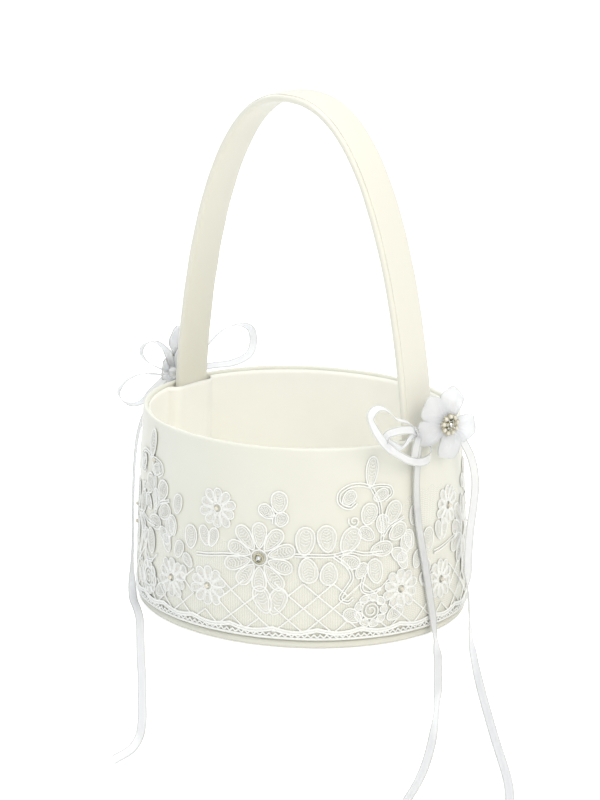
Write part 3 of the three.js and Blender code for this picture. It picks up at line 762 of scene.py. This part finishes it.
class Pattern:
    """Flat cords and stitched patches that are laid round the wall together."""

    def __init__(self, name):
        self.name = name
        self.cords = flat_curve(name + "_cords", CORD)
        self.fine = flat_curve(name + "_fine_cords", FINE_CORD)
        self.patches = []

    def petal(self, centre, turn, inner, outer, width, bars=5, foot=0.5):
        lay_cord(self.cords, teardrop(centre, turn, inner, outer, width, 20, foot), closed=True)
        gap = width * 0.17
        lay_cord(self.fine, teardrop(centre, turn, inner + gap, outer - gap, width - 2 * gap, 14,
                                     foot), closed=True, lift=0.0002)
        for bar in range(bars):
            out = 0.34 + 0.44 * bar / max(bars - 1, 1)
            far = inner + (outer - inner) * out
            half = width * 0.26 * math.sin(math.pi * out ** 0.8)
            lean = far + half * 0.5
            middle = (centre[0] + far * math.cos(turn), centre[1] + far * math.sin(turn))
            ends = [(centre[0] + lean * math.cos(turn) - side * half * math.sin(turn),
                     centre[1] + lean * math.sin(turn) + side * half * math.cos(turn))
                    for side in (-1, 1)]
            lay_cord(self.fine, [ends[0], middle, ends[1]], lift=0.0003)
        self.patches.append(teardrop(centre, turn, inner, outer, width, 12, foot))

    def ring(self, centre, radius, steps=16, fine=False):
        turns = [2 * math.pi * step / steps for step in range(steps)]
        lay_cord(self.fine if fine else self.cords,
                 [(centre[0] + radius * math.cos(turn), centre[1] + radius * math.sin(turn))
                  for turn in turns], closed=True, lift=0.0002)

    def flower(self, degrees, height, radius, petals, heart, fullness=0.7, bars=0):
        centre = (degrees * MM_PER_DEGREE, height)
        width = 2 * math.pi * radius * fullness / petals
        for index in range(petals):
            turn = math.radians(90 + 360 * index / petals)
            reach = radius * (1 + 0.06 * math.sin(index * 2.4))
            self.petal(centre, turn, heart, reach, width, bars)
        self.ring(centre, heart * 0.86)

    def leaf(self, degrees, height, angle, length, width):
        turn = math.radians(angle)
        foot = (degrees * MM_PER_DEGREE - length / 2 * math.cos(turn),
                height - length / 2 * math.sin(turn))
        self.petal(foot, turn, 0, length, width * 0.95, foot=0.85)

    def line(self, points, twin=0.0):
        path = [Vector((degrees * MM_PER_DEGREE, height, 0)) for degrees, height in points]
        smooth = curve_through(path, 8 * len(path))
        for side in ((-1, 1) if twin else (0,)):
            lay_cord(self.cords, [
                (point.x - tangent.y * side * twin, point.y + tangent.x * side * twin)
                for point, tangent in zip(smooth, tangents_of(smooth))])

    def curl(self, degrees, height, radius, turns, first):
        centre = (degrees * MM_PER_DEGREE, height)
        steps = int(turns * 16)
        points = []
        for step in range(steps + 1):
            reach = radius * (1 - 0.8 * step / steps)
            swing = first + step * math.pi / 8
            points.append((centre[0] + reach * math.cos(swing),
                           centre[1] + reach * math.sin(swing)))
        lay_cord(self.cords, points)


quarter = Pattern("lace_quarter")
quarter.flower(0, 54, 21, 10, 5.5, bars=5)
for leaf in ((15.6, 65.5, 84, 17, 11), (23, 67, 95, 16, 11), (31, 65.5, 62, 17, 11),
             (16.6, 48, -82, 15, 11), (23.6, 46, -96, 13.5, 10), (31, 53, -25, 12, 8),
             (39.3, 105.5, 82, 18, 7.5), (30.8, 91, 50, 10, 7), (42.6, 91, 24, 10, 7),
             (38, 80.5, 72, 13, 10), (47.3, 80, 60, 14, 10), (49, 68, 32, 13, 9.5),
             (42.6, 59, 4, 14, 9), (40, 46, 100, 15, 9.5), (37, 69, 140, 11, 7.5),
             (49.5, 54, -35, 12, 8), (47.5, 19, 30, 12, 8), (31.5, 20, 150, 11, 8),
             (-26.7, 59, 88, 14, 9), (-20.6, 62, 108, 12, 6.5), (-17.2, 62, 72, 12, 6.5),
             (-32.4, 49, 70, 11, 7), (-28, 44, 130, 9, 6), (-36, 62, 100, 12, 7),
             (-33.5, 76, 80, 12, 7), (-39, 50, 110, 11, 7), (-30, 36, 95, 8, 5),
             (2.4, 82, 140, 10, 7.5), (6.8, 88, 88, 13, 9.5), (7.6, 78, 70, 9, 7.5),
             (1.2, 29, 110, 17, 10), (6.2, 28.5, 70, 17, 10),
             (43, 74, 85, 11, 8), (52.5, 60, 80, 12, 8), (35, 47, 60, 10, 7)):
    quarter.leaf(*leaf)
quarter.line(((-24, 50), (-19, 51), (-13, 53), (-7, 54)), twin=0.8)
quarter.line(((12, 57), (18, 57), (25, 57), (31, 59), (36, 57), (43, 57)), twin=0.8)
quarter.line(((25, 57), (30, 50), (31.5, 43), (29, 36), (27.5, 31), (30, 28.5), (32, 31)),
             twin=0.8)
quarter.line(((36, 45), (35, 36), (38, 33), (42, 35)), twin=0.7)
quarter.line(((5, 75), (5, 79), (4.5, 82)), twin=0.7)
quarter.line(((39, 96.5), (35, 98.5), (31, 98), (27.5, 94), (27.5, 88), (31, 85), (33.5, 88)),
             twin=0.8)
quarter.line(((39, 96.5), (42, 97), (46, 95.5), (47, 91), (44, 87.5)), twin=0.7)
quarter.line(((39, 96.5), (42, 86), (42.5, 78), (43, 70), (42.6, 63)), twin=0.8)
quarter.line(((52, 76), (46, 72), (43, 66)), twin=0.6)
quarter.curl(32.5, 77, 3.6, 1.5, 2.6)
quarter.curl(38.3, 22.5, 6.6, 2.4, 0.4)
for scallop in range(9):
    swing = 2 * math.pi * scallop / 9
    quarter.petal((38.3 * MM_PER_DEGREE, 22.5), swing, 5.6, 10.2, 6, 0)

TRELLIS_COLUMNS = 9
TRELLIS_ROW = 7.5
TRELLIS_FOOT = 10
quarter_mm = 90 * MM_PER_DEGREE
half_column = quarter_mm / TRELLIS_COLUMNS / 2
covered = ((0, 54, 20), (-19.5, 32, 12), (-37, 31, 12), (50, 33, 12), (38, 24, 11),
           (4, 29, 9))


def is_clear(across_mm, up_mm):
    return all(math.hypot(across_mm - shift - degrees * MM_PER_DEGREE, up_mm - height) > radius
               for degrees, height, radius in covered for shift in (-quarter_mm, 0, quarter_mm))


for column in range(2 * TRELLIS_COLUMNS):
    for row in range(4):
        lean = 1 if (column + row) % 2 == 0 else -1
        start = -quarter_mm / 2 + column * half_column
        low = TRELLIS_FOOT + row * TRELLIS_ROW
        near, far = (low, low + TRELLIS_ROW) if lean > 0 else (low + TRELLIS_ROW, low)
        if is_clear(start + half_column / 2, low + TRELLIS_ROW / 2):
            lay_cord(quarter.cords, [(start + half_column * step / 6, near + (far - near) * step / 6)
                                     for step in range(7)])

# The small flowers stand where their pearls are sewn, and repeat every half turn.
half = Pattern("lace_half")
for name in sorted(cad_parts):
    if name.startswith("lace_pearl_front"):
        low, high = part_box(name)
        middle = (low + high) / 2
        degrees = math.degrees(math.atan2(middle.y / OVAL, middle.x))
        half.flower(degrees, middle.z * 1000, 11.8, 10, 3.2, fullness=0.74, bars=2)


def curve_piece(curve, name):
    bpy.ops.object.select_all(action="DESELECT")
    drawn = bpy.data.objects.new(name, curve)
    bpy.context.scene.collection.objects.link(drawn)
    drawn.select_set(True)
    bpy.context.view_layer.objects.active = drawn
    bpy.ops.object.convert(target="MESH")
    return bpy.context.object


def join(pieces, name):
    bpy.ops.object.select_all(action="DESELECT")
    for piece in pieces:
        piece.select_set(True)
    bpy.context.view_layer.objects.active = pieces[0]
    if len(pieces) > 1:
        bpy.ops.object.join()
    pieces[0].name = name
    bpy.ops.object.transform_apply(location=True, rotation=True, scale=True)
    return pieces[0]


def wrap_round(flat, name, repeats, first):
    """Copies a flat pattern round the wall, and lays each corner over it."""
    copies = []
    for index in range(repeats):
        piece = flat.copy()
        piece.data = flat.data.copy()
        bpy.context.scene.collection.objects.link(piece)
        for vertex in piece.data.vertices:
            turn = math.radians(vertex.co.x * 1000 / MM_PER_DEGREE + first + index * 360 / repeats)
            vertex.co = wall_spot(turn, vertex.co.y, NET_LIFT + vertex.co.z * CORD_FLATNESS)
        copies.append(piece)
    mesh = flat.data
    bpy.data.objects.remove(flat)
    bpy.data.meshes.remove(mesh)
    return join(copies, name)


for pattern, repeats, first in ((quarter, 4, FIRST_FLOWER), (half, 2, 0)):
    for curve in (pattern.cords, pattern.fine):
        name = curve.name
        cords = wrap_round(curve_piece(curve, name + "_flat"), name, repeats, first)
        smooth_shade(cords)
        cords.data.materials.append(lace_thread)
        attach(cords, "root")

# ---- Satin stitch -----------------------------------------------------------
# Every petal and leaf is filled inside its cord with close satin stitch, which swells a little
# in the middle.
PATCH_EDGE = 0.0002
PATCH_RISE = 0.0003
for pattern, repeats, first in ((quarter, 4, FIRST_FLOWER), (half, 2, 0)):
    stitched = []
    for outline in pattern.patches:
        bpy.ops.object.select_all(action="DESELECT")
        bpy.ops.mesh.primitive_circle_add(vertices=12, radius=1, fill_type="TRIFAN")
        patch = bpy.context.object
        rim = patch.data.vertices[:12]
        for vertex, (across_mm, up_mm) in zip(rim, outline):
            vertex.co = (across_mm * 0.001, up_mm * 0.001, PATCH_EDGE)
        middle = sum((vertex.co for vertex in rim), Vector()) / 12
        patch.data.vertices[12].co = middle + Vector((0, 0, PATCH_RISE))
        stitched.append(patch)
    name = pattern.name + "_stitches"
    stitches = wrap_round(join(stitched, name + "_flat"), name, repeats, first)
    stitches.data.materials.append(stitch_satin)
    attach(stitches, "root")

# ---- Lace hem ---------------------------------------------------------------
# A scalloped braid hides the glued joint of wall and base: a cord in swags, a laced cord under
# it, and a straight one.
SWAGS = 24
LACINGS = 168
round_mm = 360 * MM_PER_DEGREE
hem_curve = flat_curve("hem cords", 0.00075)
for height, depth, count in ((12.8, 2.2, SWAGS), (11.4, 2.2, SWAGS), (6.6, 0, SWAGS)):
    line = []
    for step in range(count * 16 + 1):
        swing = step % 16 / 16
        line.append((round_mm * step / (count * 16), height - depth * math.sin(math.pi * swing)))
    lay_cord(hem_curve, line, lift=0.0001)
lay_cord(hem_curve, [(round_mm * step / (2 * LACINGS), 7.4 + 1.8 * (step % 2))
                     for step in range(2 * LACINGS + 1)], lift=0.0002)
hem = wrap_round(curve_piece(hem_curve, "hem_flat"), "lace_hem_cords", 1, 0)
smooth_shade(hem)
hem.data.materials.append(lace_thread)
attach(hem, "root")
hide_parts("lace_hem")

# ---- Bows -------------------------------------------------------------------
# One bow of the same ribbon at each side of the handle, tied in loose, uneven loops and held
# by a small tight knot at the rim. The loops stand clear of the wall and droop.
bow_loops = {
    "right": (
        (1, ((104, -14, 126), (104, -20.5, 133), (104, -32, 138), (104, -39, 144),
             (104, -46, 147.5), (105, -53, 147.5), (106, -57, 144), (107, -55, 138),
             (108, -50, 130.5), (108.5, -43, 123.5), (108.5, -34, 117.5), (108, -25, 112.5),
             (107, -14, 109), (106, -6, 109.5), (105, -3, 115), (104.5, -7, 121)),
         ((0, (0.3, 0.1, 1)), (0.36, (0.45, 0.1, 0.9)), (0.47, (1, -0.3, 0.2)),
          (0.56, (0.9, -0.7, 0.1)), (0.64, (0.9, -0.2, 0.5)), (0.85, (1, -0.1, 0.4)),
          (0.93, (0.6, 0.9, 0.3)), (1, (1, 0.3, 0)))),
        (2, ((104, -14, 126), (106, -22, 130), (107, -34, 132), (107.5, -43, 132),
             (107.5, -46, 129.5), (107, -40, 125.5), (106, -32, 121), (105, -26, 121.5),
             (104, -19, 125), (104, -13, 126)),
         ((0, (1, -0.2, 0.3)), (0.34, (1, 0, 0.2)), (0.46, (0.2, -1, 0.3)),
          (0.6, (-0.9, 0.2, 0.8)), (0.8, (-1, 0.5, 0.6)), (1, (-1, 0, 0.3)))),
        (3, ((104.5, -13, 124), (105, -15, 121), (105.5, -17, 117), (105.5, -18, 113),
             (105.5, -19.5, 110)),
         ((0, (1, -0.2, 0)), (0.5, (1, -0.5, 0)), (1, (1, -0.2, 0.2))))),
    "left": (
        (1, ((-104, -5, 124), (-104, -6, 130), (-104.5, -9, 137.5), (-105.5, -17, 144),
             (-107, -24, 144), (-108, -27, 140), (-109, -23, 133), (-108, -14, 127),
             (-105, -6, 123)),
         ((0, (-0.3, -0.2, 1)), (0.3, (-0.2, -0.3, 1)), (0.5, (-0.4, -1, 0.2)),
          (0.7, (-0.2, -0.5, -1)), (1, (-0.2, -0.2, -1)))),
        (2, ((-104, -5, 122), (-104, -15, 123), (-105, -27, 126), (-107, -35.5, 125.5),
             (-108, -43, 122), (-109, -46, 116.5), (-108, -42.5, 110.5), (-107, -35, 107.5),
             (-105, -28, 109), (-104, -22, 114), (-103.5, -12, 119.5)),
         ((0, (-0.4, -0.4, 1)), (0.35, (-0.3, -0.4, 1)), (0.5, (-0.5, -1, 0)),
          (0.75, (-0.3, -0.5, -1)), (1, (-0.3, -0.5, -1)))),
        (3, ((-103.5, -4, 124), (-103, 8, 127), (-103.5, 21, 131), (-104.5, 31, 136), (-106, 44, 140.5),
             (-107, 59, 140.5), (-108, 69.5, 136), (-108.5, 73, 129), (-108, 71, 121.5),
             (-107, 64, 118), (-105, 49, 117.5), (-104, 33.5, 119.5), (-103.5, 22, 120.5),
             (-103.3, 8, 121), (-103.5, -4, 122.5)),
         ((0, (-0.5, 0, 1)), (0.33, (-0.5, -0.3, 1)), (0.45, (-0.7, 0.2, 0.9)),
          (0.52, (-0.8, 0.9, 0.2)), (0.6, (-0.8, 0.3, -0.9)), (1, (-0.5, 0, -1))))),
}
for side, loops in bow_loops.items():
    for number, route, faces in loops:
        path = curve_through(in_metres(route), 25 if number == 3 and side == "right" else 81)
        loop = lay_ribbon(f"{side}_ribbon_loop_{number}", path, faces)
        loop.data.materials.append(white_ribbon)
        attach(loop, "root")
        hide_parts(f"{side}_bow_loop_{number}")

    knot_low, knot_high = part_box(f"{side}_bow_knot")
    bpy.ops.object.select_all(action="DESELECT")
    bpy.ops.mesh.primitive_uv_sphere_add(segments=40, ring_count=24, radius=1)
    knot = bpy.context.object
    knot.name = f"{side}_tied_knot"
    for vertex in knot.data.vertices:
        x, y, z = vertex.co
        wrap = 1 - 0.16 * math.exp(-((z + 0.25 * y) / 0.16) ** 2) + 0.05 * math.sin(9 * z + 4 * y)
        vertex.co = (knot_low + knot_high) / 2 + Vector((
            x * wrap * (knot_high.x - knot_low.x) / 2,
            y * wrap * (knot_high.y - knot_low.y) / 2 * (1 - 0.2 * z * z),
            z * wrap * (knot_high.z - knot_low.z) / 2))
    smooth_shade(knot)
    knot.data.materials.append(white_ribbon)
    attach(knot, "root")
    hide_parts(f"{side}_bow_knot")

# ---- Organza flowers --------------------------------------------------------
# Five petals, each a doubled scrap of stiff sheer organza gathered at its foot so that it
# puffs, sewn in an uneven ring on a felt disc and glued over the knot.
PETAL_LENGTH = 0.0218
PETAL_WIDTH = 0.0212
PETAL_THICKNESS = 0.0042
PETAL_TURNS = (-12, -24, -40, -30, -38)
FLOWER_TURN = math.radians(12)
organza = bpy.data.materials.new("white organza")
organza.use_nodes = True
organza_tree = organza.node_tree
organza_shader = organza_tree.nodes["Principled BSDF"]
organza_shader.inputs["Roughness"].default_value = 0.42
organza_shader.inputs["Sheen Weight"].default_value = 0.15
organza_shader.inputs["Sheen Roughness"].default_value = 0.3
organza_shader.inputs["Subsurface Weight"].default_value = 0.65
organza_shader.inputs["Subsurface Radius"].default_value = (1, 1, 1)
organza_shader.inputs["Subsurface Scale"].default_value = 0.02
# The hem attribute marks each petal's folded rim. There the doubled cloth is fully opaque, and its
# colour is painted dark: painted shade standing in for sheer cloth seen edge-on.
fold_shade_mask = add_node(organza_tree, "ShaderNodeAttribute", {"attribute_name": "hem"})
organza_mix = add_node(organza_tree, "ShaderNodeMix", {"data_type": "RGBA"},
                       {"A": (0.86, 0.87, 0.905, 1), "B": (0.32, 0.32, 0.28, 1)})
organza_alpha = add_node(organza_tree, "ShaderNodeMapRange", values={"To Min": 0.68, "To Max": 1})
organza_place = add_node(organza_tree, "ShaderNodeTexCoord")
organza_weave = add_node(organza_tree, "ShaderNodeTexNoise", values={"Scale": 1900, "Detail": 2})
organza_relief = add_node(organza_tree, "ShaderNodeBump",
                          values={"Strength": 0.3, "Distance": 0.0004})
organza_link = organza_tree.links.new
organza_link(fold_shade_mask.outputs["Fac"], organza_mix.inputs["Factor"])
organza_link(organza_mix.outputs["Result"], organza_shader.inputs["Base Color"])
organza_link(fold_shade_mask.outputs["Fac"], organza_alpha.inputs["Value"])
organza_link(organza_alpha.outputs["Result"], organza_shader.inputs["Alpha"])
organza_link(organza_place.outputs["Object"], organza_weave.inputs["Vector"])
organza_link(organza_weave.outputs["Fac"], organza_relief.inputs["Height"])
organza_link(organza_relief.outputs["Normal"], organza_shader.inputs["Normal"])
felt = fibre("white felt", (0.94, 0.94, 0.95), (0.88, 0.88, 0.89), 900, 0.8)


def turn_to(outward, aside):
    """Turns a piece drawn along X and facing Z, to run along one way and face another."""
    aside = (aside - outward * aside.dot(outward)).normalized()
    turned = Matrix((aside, outward.cross(aside), outward)).transposed()
    return turned.to_4x4()


def centre_of(name):
    low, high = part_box(name)
    return (low + high) / 2


def organza_petal(name, length, width, seed):
    bpy.ops.object.select_all(action="DESELECT")
    bpy.ops.mesh.primitive_uv_sphere_add(segments=72, ring_count=36, radius=1)
    petal = bpy.context.object
    petal.name = name
    # The hem value marks the folded rim, which the material paints with painted shade of the cloth seen
    # edge-on.
    hem = petal.data.attributes.new("hem", "FLOAT", "POINT")
    for index, vertex in enumerate(petal.data.vertices):
        z, x, y = vertex.co
        share = (x + 1) / 2
        flat = abs(z)
        rim = math.exp(-(flat / 0.17) ** 2) * ease((share - 0.12) / 0.2)
        hem.data[index].value = rim * 0.8
        outline = 1 + 0.035 * math.sin(5 * math.atan2(y, x) + seed)
        fan = math.atan2(y, share + 0.16)
        gathers = 0.5 + 0.5 * math.cos(fan * 15 + seed)
        puff = math.copysign(flat ** 0.62, z) * (0.4 + 0.6 * math.sin(math.pi * min(share, 0.8)))
        puff *= 1 - 0.36 * gathers * (1 - ease((share - 0.35) / 0.5))
        spread = (0.4 + 0.66 * share) * outline
        cup = 0.0016 * share - 0.0028 * share ** 3 - 0.0012 * y * y * share
        crease = noise.noise(Vector((x * 1.4 + seed, y * 1.4, z + seed * 3))) * 0.0005
        vertex.co = (length * share * outline, y * width / 2 * spread,
                     puff * PETAL_THICKNESS / 2 + cup + crease + 0.0006)
    smooth_shade(petal)
    petal.data.materials.append(organza)
    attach(petal, "root")
    return petal


for side, facing_way in (("right", 1), ("left", -1)):
    outward = Vector((facing_way * math.cos(FLOWER_TURN), -math.sin(FLOWER_TURN), 0))
    backing_low, backing_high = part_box(f"{side}_flower_backing")
    backing_radius = (backing_high.z - backing_low.z) / 2
    backing_centre = (backing_low + backing_high) / 2
    bpy.ops.object.select_all(action="DESELECT")
    bpy.ops.mesh.primitive_cylinder_add(vertices=48, radius=backing_radius, depth=0.0012)
    backing = bpy.context.object
    backing.name = f"{side}_felt_disc"
    apply_modifier(backing, "BEVEL", width=0.0004, segments=3)
    backing.data.transform(Matrix.Translation(backing_centre)
                           @ turn_to(outward, Vector((0, 0, 1))))
    smooth_shade(backing)
    backing.data.materials.append(felt)
    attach(backing, "root")
    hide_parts(f"{side}_flower_backing")

    for number, shift in enumerate(PETAL_TURNS, 1):
        aside = centre_of(f"{side}_petal_{number}") - backing_centre
        aside = Matrix.Rotation(math.radians(shift), 3, outward) @ aside
        petal = organza_petal(f"{side}_organza_petal_{number}", PETAL_LENGTH, PETAL_WIDTH,
                              number * 1.7)
        foot = backing_centre + outward * 0.0011
        petal.data.transform(Matrix.Translation(foot) @ turn_to(outward, aside))
        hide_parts(f"{side}_petal_{number}")

# ---- Brooches ---------------------------------------------------------------
# A small pressed button of pale metal, glued over the flower's heart: a ring of tiny pearls in
# wire cups, then a ring of bead wire, round a cut stone.
silver = bpy.data.materials.new("champagne metal")
silver.use_nodes = True
silver_tree = silver.node_tree
silver_shader = silver_tree.nodes["Principled BSDF"]
silver_shader.inputs["Metallic"].default_value = 1
silver_place = add_node(silver_tree, "ShaderNodeTexCoord")
tarnish = add_node(silver_tree, "ShaderNodeTexNoise", values={"Scale": 900, "Detail": 3})
silver_mix = add_node(silver_tree, "ShaderNodeMix", {"data_type": "RGBA"},
                      {"A": (0.8, 0.76, 0.6, 1), "B": (0.42, 0.39, 0.25, 1)})
silver_rough = add_node(silver_tree, "ShaderNodeMapRange", values={"To Min": 0.14, "To Max": 0.4})
silver_tree.links.new(silver_place.outputs["Object"], tarnish.inputs["Vector"])
silver_tree.links.new(tarnish.outputs["Fac"], silver_mix.inputs["Factor"])
silver_tree.links.new(tarnish.outputs["Fac"], silver_rough.inputs["Value"])
silver_tree.links.new(silver_mix.outputs["Result"], silver_shader.inputs["Base Color"])
silver_tree.links.new(silver_rough.outputs["Result"], silver_shader.inputs["Roughness"])

pearl = bpy.data.materials.new("glass pearl")
pearl.use_nodes = True
pearl_tree = pearl.node_tree
pearl_shader = pearl_tree.nodes["Principled BSDF"]
pearl_shader.inputs["Coat Weight"].default_value = 0.7
pearl_shader.inputs["Coat Roughness"].default_value = 0.08
pearl_shader.inputs["Sheen Weight"].default_value = 0.3
pearl_place = add_node(pearl_tree, "ShaderNodeTexCoord")
pearl_cloud = add_node(pearl_tree, "ShaderNodeTexNoise", values={"Scale": 420, "Detail": 2})
pearl_mix = add_node(pearl_tree, "ShaderNodeMix", {"data_type": "RGBA"},
                     {"A": (0.78, 0.745, 0.64, 1), "B": (0.6, 0.56, 0.44, 1)})
pearl_rough = add_node(pearl_tree, "ShaderNodeMapRange", values={"To Min": 0.18, "To Max": 0.34})
pearl_tree.links.new(pearl_place.outputs["Object"], pearl_cloud.inputs["Vector"])
pearl_tree.links.new(pearl_cloud.outputs["Fac"], pearl_mix.inputs["Factor"])
pearl_tree.links.new(pearl_cloud.outputs["Fac"], pearl_rough.inputs["Value"])
pearl_tree.links.new(pearl_mix.outputs["Result"], pearl_shader.inputs["Base Color"])
pearl_tree.links.new(pearl_rough.outputs["Result"], pearl_shader.inputs["Roughness"])

crystal = bpy.data.materials.new("cut crystal")
crystal.use_nodes = True
crystal_tree = crystal.node_tree
crystal_shader = crystal_tree.nodes["Principled BSDF"]
crystal_shader.inputs["Metallic"].default_value = 0.85
crystal_shader.inputs["Roughness"].default_value = 0.05
crystal_shader.inputs["Coat Weight"].default_value = 1
# Light and dark cells in the base colour are painted facet reflections: the stone's glints are painted
# on, not its own colour.
crystal_place = add_node(crystal_tree, "ShaderNodeTexCoord")
painted_glint_cells = add_node(crystal_tree, "ShaderNodeTexVoronoi", values={"Scale": 750})
crystal_mix = add_node(crystal_tree, "ShaderNodeMix", {"data_type": "RGBA"},
                       {"A": (0.92, 0.93, 0.93, 1), "B": (0.08, 0.08, 0.05, 1)})
crystal_tree.links.new(crystal_place.outputs["Object"], painted_glint_cells.inputs["Vector"])
crystal_tree.links.new(painted_glint_cells.outputs["Color"], crystal_mix.inputs["Factor"])
crystal_tree.links.new(crystal_mix.outputs["Result"], crystal_shader.inputs["Base Color"])


def add_bead(radius, place, rings=8):
    bpy.ops.mesh.primitive_uv_sphere_add(
        segments=2 * rings, ring_count=rings, radius=radius, location=place)
    return bpy.context.object


def add_ring(radius, wire, place):
    bpy.ops.mesh.primitive_torus_add(major_radius=radius, minor_radius=wire, location=place,
                                     major_segments=24, minor_segments=8)
    return bpy.context.object


def round_place(radius, count, index, height, offset=0):
    turn = 2 * math.pi * (index + offset) / count
    return (radius * math.cos(turn), radius * math.sin(turn), height)


def cut_stone(radius, height, place):
    """A stone with a flat top and one row of facets."""
    bpy.ops.mesh.primitive_cone_add(vertices=10, radius1=radius, radius2=radius * 0.58,
                                    depth=height, location=place)
    return bpy.context.object


BROOCH_PEARLS = 9
INNER_STONES = 7
WIRE_BEADS = 12
WIRE_RING = 0.0021
for side, facing_way in (("right", 1), ("left", -1)):
    outward = Vector((facing_way * math.cos(FLOWER_TURN), -math.sin(FLOWER_TURN), 0))
    brooch_low, brooch_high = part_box(f"{side}_brooch")
    radius = (brooch_high.z - brooch_low.z) / 2
    seat = Matrix.Translation(centre_of(f"{side}_brooch") + outward * 0.0006)
    seat = seat @ turn_to(outward, Vector((0, 0, 1)))
    bpy.ops.object.select_all(action="DESELECT")
    bpy.ops.mesh.primitive_cone_add(vertices=40, radius1=radius, radius2=radius * 0.72,
                                    depth=0.0012, location=(0, 0, -0.0003))
    metal = [bpy.context.object]
    pearls = []
    stones = []
    for index in range(BROOCH_PEARLS):
        place = round_place(radius * 0.9, BROOCH_PEARLS, index, 0.0006)
        metal.append(add_ring(0.00155, 0.00032, place))
        pearls.append(add_bead(0.00128, Vector(place) + Vector((0, 0, 0.0006))))
    for index in range(INNER_STONES):
        place = round_place(radius * 0.5, INNER_STONES, index, 0.0013, 0.5)
        if index % 2:
            metal.append(add_ring(0.0009, 0.0003, place))
        stones.append(cut_stone(0.00085, 0.0009, Vector(place) + Vector((0, 0, 0.0002))))
    metal.append(add_ring(WIRE_RING, 0.00034, (0, 0, 0.0014)))
    for index in range(WIRE_BEADS):
        metal.append(add_bead(0.0003, round_place(WIRE_RING, WIRE_BEADS, index, 0.0018), 4))
    brooch = join(metal, f"{side}_brooch_metal")
    brooch_pearls = join(pearls, f"{side}_brooch_pearls")
    brooch_stones = join(stones, f"{side}_brooch_stones")
    heart_stone = join([cut_stone(0.0019, 0.0015, (0, 0, 0.0019))], f"{side}_heart_stone")
    for piece, material, slot in ((brooch, silver, "silver"), (brooch_pearls, pearl, "pearl"),
                                  (brooch_stones, crystal, "crystal"),
                                  (heart_stone, crystal, "crystal")):
        piece.data.transform(seat)
        if material is not crystal:
            smooth_shade(piece)
        piece.data.materials.append(material)
        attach(piece, "root")
    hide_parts(f"{side}_brooch")
    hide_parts(f"{side}_brooch_stone")

# ---- Lace pearls and rhinestones --------------------------------------------
# A pearl is sewn in the heart of every small flower, and a large rhinestone in a claw cup in
# the large flower at the front and at the back. A few pearls lie loose among the leaves.
for name in sorted(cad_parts):
    if name.startswith("lace_pearl"):
        low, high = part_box(name)
        centre = (low + high) / 2
        bpy.ops.object.select_all(action="DESELECT")
        bead = add_bead((high.z - low.z) / 2, centre, 10)
        bead.name = name.replace("pearl", "bead")
        bpy.ops.object.transform_apply(location=True, rotation=True, scale=True)
        smooth_shade(bead)
        bead.data.materials.append(pearl)
        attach(bead, "root")
        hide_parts(name)

LOOSE_PEARL_RADIUS = 0.0012
LOOSE_PEARLS = ((-113.7, 96), (46, 48), (46, 59), (66.3, 96), (-134, 48), (-134, 59))
bpy.ops.object.select_all(action="DESELECT")
loose = [add_bead(LOOSE_PEARL_RADIUS, wall_spot(math.radians(degrees), height * 0.001, 0.0014))
         for degrees, height in LOOSE_PEARLS]
loose_beads = join(loose, "lace_loose_beads")
smooth_shade(loose_beads)
loose_beads.data.materials.append(pearl)
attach(loose_beads, "root")

CUP_SHARE = 0.86
CLAWS = 20
for side in ("front", "back"):
    stone_low, stone_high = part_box(f"lace_rhinestone_{side}")
    centre = (stone_low + stone_high) / 2
    radius = (stone_high.z - stone_low.z) / 2 * CUP_SHARE
    outward = Vector((centre.x, centre.y / OVAL ** 2, 0)).normalized()
    bpy.ops.object.select_all(action="DESELECT")
    claws = [add_ring(radius * 0.9, 0.0005, (0, 0, 0.0002))]
    for index in range(CLAWS):
        claws.append(add_bead(0.00042, round_place(radius * 0.92, CLAWS, index, 0.0006), 4))
    cup = join(claws, f"rhinestone_cup_{side}")
    stone = join([cut_stone(radius * 0.84, 0.0014, (0, 0, 0.0006))], f"rhinestone_{side}")
    seat = Matrix.Translation(centre) @ turn_to(outward, Vector((0, 0, 1)))
    for piece, material, slot in ((cup, silver, "silver"), (stone, crystal, "crystal")):
        piece.data.transform(seat)
        piece.data.materials.append(material)
        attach(piece, "root")
    smooth_shade(cup)
    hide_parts(f"lace_rhinestone_{side}")
